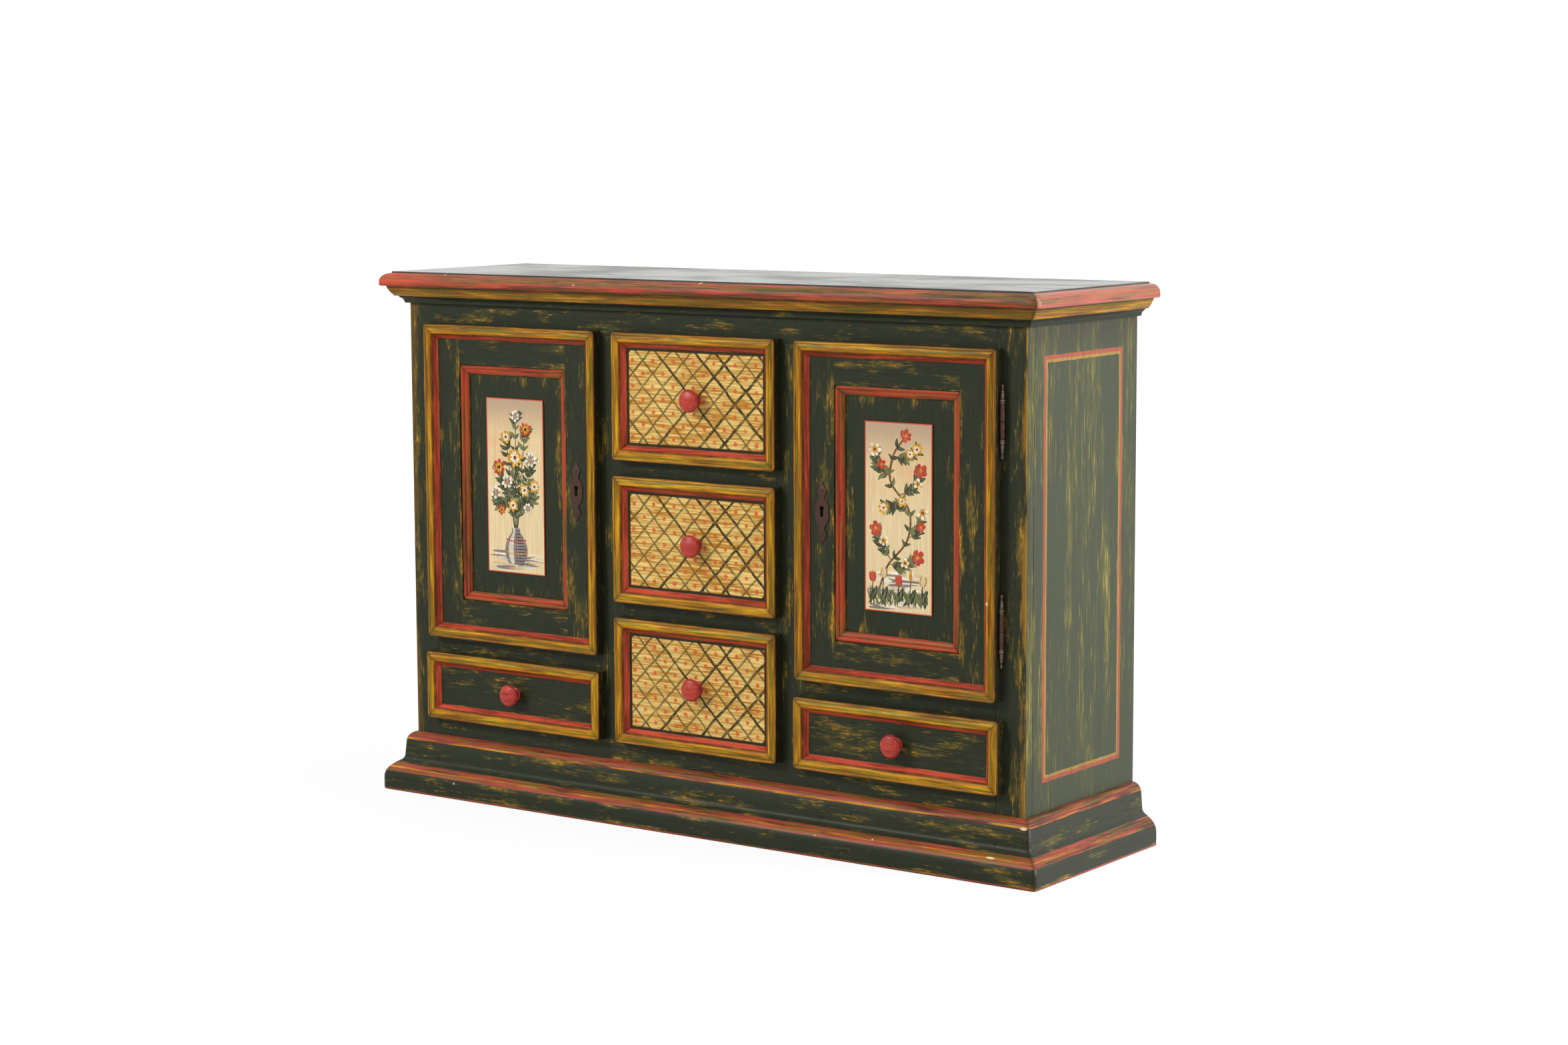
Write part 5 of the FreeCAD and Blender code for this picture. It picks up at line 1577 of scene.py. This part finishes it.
class CREDENZA_OT_pictures(bpy.types.Operator):
    """Paints a bouquet and a flowering branch on the door panels"""

    bl_idname = "credenza.pictures"
    bl_label = "Pictures"

    def execute(self, context):
        material = stroke_paint()
        for side, brush in (("left", self.bouquet()), ("right", self.branch())):
            low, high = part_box(f"{side}_door_panel")
            x, z = middle_of(low, high)
            base = self.places(brush.strokes, Vector((x, low.y, z)))
            mesh = grown(stroke_tree(), base, corners=18, depth=sizes().stroke, finish=material)
            mesh = finished(poured(bmesh.new(), mesh), "picture")
            dress(f"{side}_picture", mesh, f"{side}_door", "cream_paint", material)
        return {"FINISHED"}

    def places(self, strokes, middle):
        """Points that carry the strokes' sizes and tints; each stroke lies a little above the last."""
        mesh = bpy.data.meshes.new("stroke_places")
        mesh.from_pydata([middle + Vector((s[0], 0, s[1])) * MM for s in strokes], [], [])
        columns = {"turn": [], "long": [], "wide": [], "pointed": [], "bend": [], "level": []}
        tints = []
        for index, (_, _, turn, long, wide, pointed, bend, tint) in enumerate(strokes):
            values = (turn, long * MM, wide * MM, pointed, bend, index * 0.0000005)
            for column, value in zip(columns.values(), values):
                column.append(value)
            tints.extend((*tint, 1.0))
        for name, column in columns.items():
            mesh.attributes.new(name, "FLOAT", "POINT").data.foreach_set("value", column)
        mesh.attributes.new("tint", "FLOAT_COLOR", "POINT").data.foreach_set("color", tints)
        return mesh

    def bouquet(self):
        """A round vase with a loose bouquet."""
        c = colours()
        brush = Brush(5)
        greens = (c.leaf, c.leaf, c.leaf, c.leaf_pale)
        brush.wash(-158, -124, 46, (c.petal_pale, c.petal_pale, c.ground, c.lilac))
        tips = [(-40, 34), (38, 52), (-22, 92), (26, 108), (2, 132), (46, 2), (-48, -14), (0, 54)]
        for u, v in tips:
            path = brush.stem([(u * 0.08, -78), (u * 0.3, -30), (u * 0.85, v - 24), (u, v)], 1.7, c.leaf)
            brush.leaves(path, 17, greens, c.leaf_pale, 3)
        self.vase(brush)
        reds = (c.petal_red, c.petal_ochre, c.glaze)
        ochres = (c.petal_ochre, c.petal_pale, c.red_low)
        pales = (c.petal_pale, c.lilac, c.petal_ochre)
        for (u, v), wide, petals, paints in zip(
            tips, (30, 28, 24, 25, 20, 24, 26, 34), (7, 8, 6, 7, 6, 8, 6, 9),
            (reds, pales, ochres, reds, pales, ochres, pales, ochres),
        ):
            brush.flower(u, v, wide, petals, *paints)
        for u, v, wide in ((-20, 8, 26), (22, -6, 24), (-6, -36, 24), (30, -40, 20), (-34, -46, 18)):
            brush.flower(u, v, wide, 7, *brush.dice.choice((reds, ochres, pales)))
        for _ in range(26):
            brush.stroke(
                brush.dice.uniform(-56, 56), brush.dice.uniform(-30, 140), 0.0, 2.4, 2.2, c.petal_pale, 0.0
            )
        return brush

    def vase(self, brush):
        c = colours()
        for index in range(36):
            up = index / 35
            v = -146 + 66 * up
            half = 12 + 17 * math.sin(math.pi * min(1.0, 0.12 + up * 0.98)) ** 0.9 - 2 * up
            brush.stroke(0, v, 0.0, 2 * half, 3.4, c.lilac, 0.0)
            if index % 3 == 0:
                brush.stroke(half * 0.42, v, 0.0, half, 3.0, c.leaf, 0.3)
            brush.stroke(-half * 0.45, v, 0.0, half * 0.5, 2.4, c.petal_pale, 0.0)
        for row, tint in ((-128, c.petal_ochre), (-104, c.petal_red)):
            for index in range(9):
                u = -22 + 5.5 * index
                brush.stroke(u, row + 0.02 * u * u * 0.3, 0.6, 4.4, 3.2, tint, 0.2)

    def branch(self):
        """A winding branch in flower above grass and tulips."""
        c = colours()
        brush = Brush(11)
        greens = (c.leaf, c.leaf, c.leaf_pale)
        brush.wash(-160, -96, 64, (c.petal_pale, c.petal_pale, c.ground, c.lilac))
        bends = [(-40, -128), (-22, -84), (18, -38), (22, 14), (-16, 62), (-10, 108), (16, 142)]
        trunk = brush.stem(bends, 4.2, c.bead_low)
        brush.stem([(-40, -126), (-21, -83), (19, -37), (23, 15), (-15, 63), (-9, 108)], 1.3, c.leaf)
        reds = (c.petal_red, c.red_high, c.petal_ochre)
        ochres = (c.petal_ochre, c.petal_pale, c.petal_red)
        pales = (c.petal_pale, c.petal_ochre, c.red_low)
        twigs = [
            ((-14, -74), (-36, -48), (-46, -20)), ((20, -34), (40, -20), (50, 12)),
            ((21, 12), (2, 22), (-30, 16)),
            ((4, 40), (34, 54), (46, 84)), ((-14, 70), (-40, 84), (-48, 116)),
            ((-8, 106), (18, 104), (38, 120)),
            ((-20, -80), (8, -84), (40, -66)),
        ]
        for twig in twigs:
            path = brush.stem(twig, 2.0, c.bead_low)
            brush.leaves(path, 15, greens, c.leaf_pale, 2)
        brush.leaves(trunk, 14, greens, c.leaf_pale, 8, 3)
        for index, twig in enumerate(twigs):
            u, v = twig[-1]
            brush.flower(u, v, 26 - 2 * (index % 3), 5 + index % 3, *(reds, pales, ochres)[index % 3])
            u, v = twig[1]
            brush.flower(u + 6, v + 7, 18, 5, *(pales, reds, ochres)[index % 3])
        brush.flower(16, 142, 22, 6, *reds)
        for _ in range(60):
            u = brush.dice.uniform(-60, 60)
            turn = math.pi / 2 + brush.dice.uniform(-0.5, 0.5)
            long = brush.dice.uniform(12, 30)
            v = -156 + long / 2 + brush.dice.uniform(0, 12)
            brush.stroke(u, v, turn, long, 2.2, brush.dice.choice(greens), 0.6, brush.dice.uniform(-0.2, 0.2))
        for u, v, lean, paints in (
            (-52, -112, 0.1, reds), (-30, -104, -0.1, ochres), (2, -116, 0.12, reds), (26, -106, 0.05, pales),
            (50, -114, -0.12, ochres),
        ):
            brush.stem([(u - 4, -152), (u, v)], 1.6, c.leaf)
            brush.leaf(Vector((u - 3, -146)), math.pi / 2 - 0.45, 28, c.leaf, c.leaf_pale)
            brush.leaf(Vector((u - 3, -146)), math.pi / 2 + 0.5, 24, c.leaf_pale, c.leaf)
            brush.tulip(u, v, math.pi / 2 + lean, 19, paints[0], paints[1])
        return brush


class CREDENZA_OT_drawers(bpy.types.Operator):
    """Paints the drawer fronts and makes their mouldings and knobs"""

    bl_idname = "credenza.drawers"
    bl_label = "Drawers"

    def execute(self, context):
        green = green_paint("small_drawer_paint", "x")
        red = knob_paint()
        ochre = frame_paint("drawer_moulding_paint", -0.02)
        for seed, drawer in enumerate(DRAWERS):
            body = f"{drawer}_drawer"
            lattice = drawer in DEEP_DRAWERS
            finish_node(f"{drawer}_drawer_front", lattice_paint(drawer) if lattice else green)
            low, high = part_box(f"{drawer}_drawer_moulding")
            mesh = moulded_frame(
                f"{drawer}_drawer_moulding", low, high, LIP_FACE, FRAME_MOULDING, ochre, 50 + 13 * seed
            )
            node = f"{drawer}_drawer_moulding"
            dress(f"{drawer}_drawer_frame_moulding", mesh, body, "ochre_paint", ochre, node)
            bm = bmesh.new()
            x, z = middle_of(low, high)
            turned(bm, KNOB_SECTION, (x, LIP_FACE, z), (0, -1, 0), 64)
            dress(f"{drawer}_knob", finished(bm, "knob", 50), body, "red_paint", red, f"{drawer}_drawer_knob")
        return {"FINISHED"}


class CREDENZA_OT_hinges(bpy.types.Operator):
    """Makes the barrel hinges with their finials"""

    bl_idname = "credenza.hinges"
    bl_label = "Hinges"

    def execute(self, context):
        joints = {joint["name"]: joint for joint in frame["joints"]}
        iron = hinge_finish(joints["left_door_hinge"]["pos_m"][2], HINGE_AWAY)
        frame_bm = bmesh.new()
        for side, sign in SIDES.items():
            axis_x, axis_y, middle = joints[f"{side}_door_hinge"]["pos_m"]
            door_bm = bmesh.new()
            for away in (-HINGE_AWAY, HINGE_AWAY):
                foot = Vector((axis_x, axis_y, middle + away))
                self.half(door_bm, foot, 1)
                self.half(frame_bm, foot, -1)
                inner = axis_x - sign * 5.5 * MM
                low, high = sorted((axis_x, inner - sign * 14 * MM))
                eased_box(
                    door_bm,
                    (low, axis_y + 1.5 * MM, foot.z + 5 * MM),
                    (high, axis_y + 3.5 * MM, foot.z + 31 * MM),
                    0.3 * MM,
                )
                eased_box(
                    frame_bm,
                    (axis_x - MM, axis_y, foot.z - 31 * MM),
                    (axis_x + MM, axis_y + 20 * MM, foot.z - 5 * MM),
                    0.3 * MM,
                )
            dress(f"{side}_door_hinges", finished(door_bm, "hinges", 30), f"{side}_door", "iron", iron,
                  f"{side}_door_hinge_halves")
        dress("frame_hinges", finished(frame_bm, "hinges", 30), "carcass", "iron", iron, "hinge_frame_halves")
        return {"FINISHED"}

    def half(self, bm, foot, up):
        """Half a barrel with its ring, its collar and its finial, from the hinge's middle."""
        barrel = [
            (0, 0.3), (4.4, 0.3), (4.9, 0.9), ((4.8, 14), (4.2, 28.6)), (3.8, 29.4), (4.7, 30.4), (4.9, 31.2),
            (4.7, 32), (3.9, 32.8), (4.2, 34), (4.4, BARREL_END),
        ]
        finial = []
        for step in FINIAL_SECTION:
            if isinstance(step[0], tuple):
                finial.append(tuple((r, h + BARREL_END) for r, h in step))
            else:
                finial.append((step[0], step[1] + BARREL_END))
        turned(bm, barrel + finial, foot, (0, 0, up), 32)


class CREDENZA_OT_key_plates(bpy.types.Operator):
    """Makes the iron key plates with their keyholes and nails"""

    bl_idname = "credenza.key_plates"
    bl_label = "Key plates"

    def execute(self, context):
        iron = iron_finish("key_plate_finish", 0.4)
        for side, sign in SIDES.items():
            bm = bmesh.new()
            self.plate(bm, sign)
            for up in (-1, 1):
                foot = (
                    sign * KEYHOLE["x"] * MM,
                    LIP_FACE - PLATE_THICKNESS * MM,
                    (KEYHOLE["z"] + up * NAIL_RISE) * MM,
                )
                turned(bm, [(0, -0.4), (2.5, -0.4), (2.5, 0), ((1.9, 0.9), (0, 1.3))], foot, (0, -1, 0), 20)
            dress(f"{side}_key_plate", finished(bm, "key_plate", 30), f"{side}_door", "iron", iron,
                  f"{side}_door_escutcheon")
        return {"FINISHED"}

    def plate(self, bm, sign):
        """A thin plate with a scalloped outline round the keyhole, in rows of faces that follow its edge."""
        k = KEYHOLE
        heights = [-h for h, w in reversed(PLATE_OUTLINE)] + [h for h, w in PLATE_OUTLINE[1:]]
        widths = [w for h, w in reversed(PLATE_OUTLINE)] + [w for h, w in PLATE_OUTLINE[1:]]
        outer = [(w, h) for h, w in zip(heights, widths)]
        outer += [(-w, h) for w, h in reversed(outer)]
        hole = [(-k["slot"], -k["drop"]), (k["slot"], -k["drop"])]
        start = math.asin(k["slot"] / k["radius"])
        for index in range(17):
            angle = -math.pi / 2 + start + (math.tau - 2 * start) * index / 16
            hole.append((k["radius"] * math.cos(angle), k["rise"] + k["radius"] * math.sin(angle)))
        levels = ((1.0, 0.0), (1.0, PLATE_THICKNESS - 0.5), (0.97, PLATE_THICKNESS))
        rings = [
            [self.spot(bm, sign, x * share, z * share, lift) for x, z in outer] for share, lift in levels
        ]
        hole_rings = [[self.spot(bm, sign, x, z, lift) for x, z in hole] for lift in (PLATE_THICKNESS, 0.0)]
        for ring, following in zip(rings, rings[1:]):
            self.wall(bm, ring, following)
        self.wall(bm, hole_rings[0], hole_rings[1])
        for outside, inside in ((rings[-1], hole_rings[0]), (rings[0], hole_rings[1])):
            edges = []
            for loop in (outside, inside):
                for a, b in zip(loop, loop[1:] + loop[:1]):
                    edges.append(bm.edges.get((a, b)) or bm.edges.new((a, b)))
            bmesh.ops.triangle_fill(bm, edges=edges, use_beauty=True, use_dissolve=False)

    def spot(self, bm, sign, x, z, lift):
        return bm.verts.new((sign * (KEYHOLE["x"] + x) * MM, LIP_FACE - lift * MM, (KEYHOLE["z"] + z) * MM))

    def wall(self, bm, ring, following):
        count = len(ring)
        for index in range(count):
            after = (index + 1) % count
            bm.faces.new((ring[index], ring[after], following[after], following[index]))


class CREDENZA_OT_stage(bpy.types.Operator):
    """Sets up the floor, the soft light and the camera"""

    bl_idname = "credenza.stage"
    bl_label = "Stage"

    def execute(self, context):
        scene = context.scene
        scene.view_settings.view_transform = "Standard"
        self.floor()
        self.world(scene)
        for name, (place, size, watts) in LAMPS.items():
            self.lamp(name, place, size, watts)
        self.camera(scene)
        return {"FINISHED"}

    def floor(self):
        bpy.ops.mesh.primitive_plane_add(size=FLOOR_SIZE)
        floor = bpy.context.object
        floor.name = "floor"
        material, nodes, shader = new_material("floor_white")
        shader.inputs["Base Color"].default_value = (FLOOR_GREY, FLOOR_GREY, FLOOR_GREY, 1)
        shader.inputs["Roughness"].default_value = 0.7
        path = nodes.add("ShaderNodeLightPath").outputs
        seen = nodes.most(path["Is Camera Ray"], path["Is Glossy Ray"])
        white = nodes.add("ShaderNodeEmission", {"Color": (1, 1, 1), "Strength": FLOOR_WHITE})
        away = nodes.add("ShaderNodeVectorMath", {0: place_of(nodes)}, operation="LENGTH").outputs["Value"]
        share = nodes.smooth(away, 1.5, 4.0, 0.78, 1.0)
        blend = nodes.add("ShaderNodeMixShader", {0: nodes.times(seen, share)})
        nodes.feed(blend.inputs[1], shader.outputs[0])
        nodes.feed(blend.inputs[2], white.outputs[0])
        nodes.feed(material.node_tree.nodes["Material Output"].inputs["Surface"], blend.outputs[0])
        floor.data.materials.append(material)

    def world(self, scene):
        world = bpy.data.worlds.new("studio")
        scene.world = world
        world.use_nodes = True
        nodes = Nodes(world.node_tree)
        background = world.node_tree.nodes["Background"]
        path = nodes.add("ShaderNodeLightPath").outputs
        seen = nodes.most(path["Is Camera Ray"], path["Is Glossy Ray"])
        seen = nodes.most(seen, path["Is Transmission Ray"])
        background.inputs["Color"].default_value = (1, 1, 1, 1)
        nodes.feed(background.inputs["Strength"], nodes.scaled(seen, 1 - WORLD_LIGHT, WORLD_LIGHT))

    def lamp(self, name, place, size, watts):
        light = bpy.data.lights.new(name, "AREA")
        light.shape = "DISK"
        light.size = size
        light.energy = watts
        lamp = bpy.data.objects.new(name, light)
        bpy.context.scene.collection.objects.link(lamp)
        lamp.location = place
        lamp.visible_glossy = name != "behind"  # the polished top would mirror it
        lamp.rotation_euler = (Vector(LAMP_TARGET) - Vector(place)).to_track_quat("-Z", "Y").to_euler()

    def camera(self, scene):
        yaw, pitch, roll = (math.radians(angle) for angle in CAMERA["turns"])
        ahead = Vector((-math.sin(yaw) * math.cos(pitch), math.cos(yaw) * math.cos(pitch), -math.sin(pitch)))
        right = Vector((math.cos(yaw), math.sin(yaw), 0))
        down = ahead.cross(right)
        rolled_right = math.cos(roll) * right + math.sin(roll) * down
        rolled_up = math.sin(roll) * right - math.cos(roll) * down
        data = bpy.data.cameras.new("camera")
        data.lens = CAMERA["lens"]
        data.sensor_width = CAMERA["sensor"]
        camera = bpy.data.objects.new("camera", data)
        scene.collection.objects.link(camera)
        turn = Matrix((rolled_right, rolled_up, -ahead)).transposed().to_4x4()
        place = Vector(CAMERA["place"]) + Vector((0, FRONT, 0))
        camera.matrix_world = Matrix.Translation(place) @ turn
        scene.camera = camera


class CREDENZA_PT_panel(bpy.types.Panel):
    """Lists the credenza's pieces and what can be changed on them"""

    bl_label = "Credenza"
    bl_idname = "CREDENZA_PT_panel"
    bl_space_type = "VIEW_3D"
    bl_region_type = "UI"
    bl_category = "Credenza"

    def draw(self, context):
        for piece in PIECES:
            self.layout.operator(piece.bl_idname)
        for group in (context.scene.credenza_sizes, context.scene.credenza_colours):
            for name in group.__annotations__:
                self.layout.prop(group, name)


PIECES = (
    CREDENZA_OT_carcass,
    CREDENZA_OT_inside,
    CREDENZA_OT_skirts,
    CREDENZA_OT_doors,
    CREDENZA_OT_pictures,
    CREDENZA_OT_drawers,
    CREDENZA_OT_hinges,
    CREDENZA_OT_key_plates,
    CREDENZA_OT_stage,
)
CLASSES = (CredenzaColours, CredenzaSizes, *PIECES, CREDENZA_PT_panel)


def register():
    for one in CLASSES:
        bpy.utils.register_class(one)
    bpy.types.Scene.credenza_colours = bpy.props.PointerProperty(type=CredenzaColours)
    bpy.types.Scene.credenza_sizes = bpy.props.PointerProperty(type=CredenzaSizes)


def unregister():
    del bpy.types.Scene.credenza_colours
    del bpy.types.Scene.credenza_sizes
    for one in reversed(CLASSES):
        bpy.utils.unregister_class(one)


def main():
    register()
    for piece in PIECES:
        name = piece.bl_idname.split(".")[1]
        getattr(bpy.ops.credenza, name)()


if __name__ == "__main__":
    main()
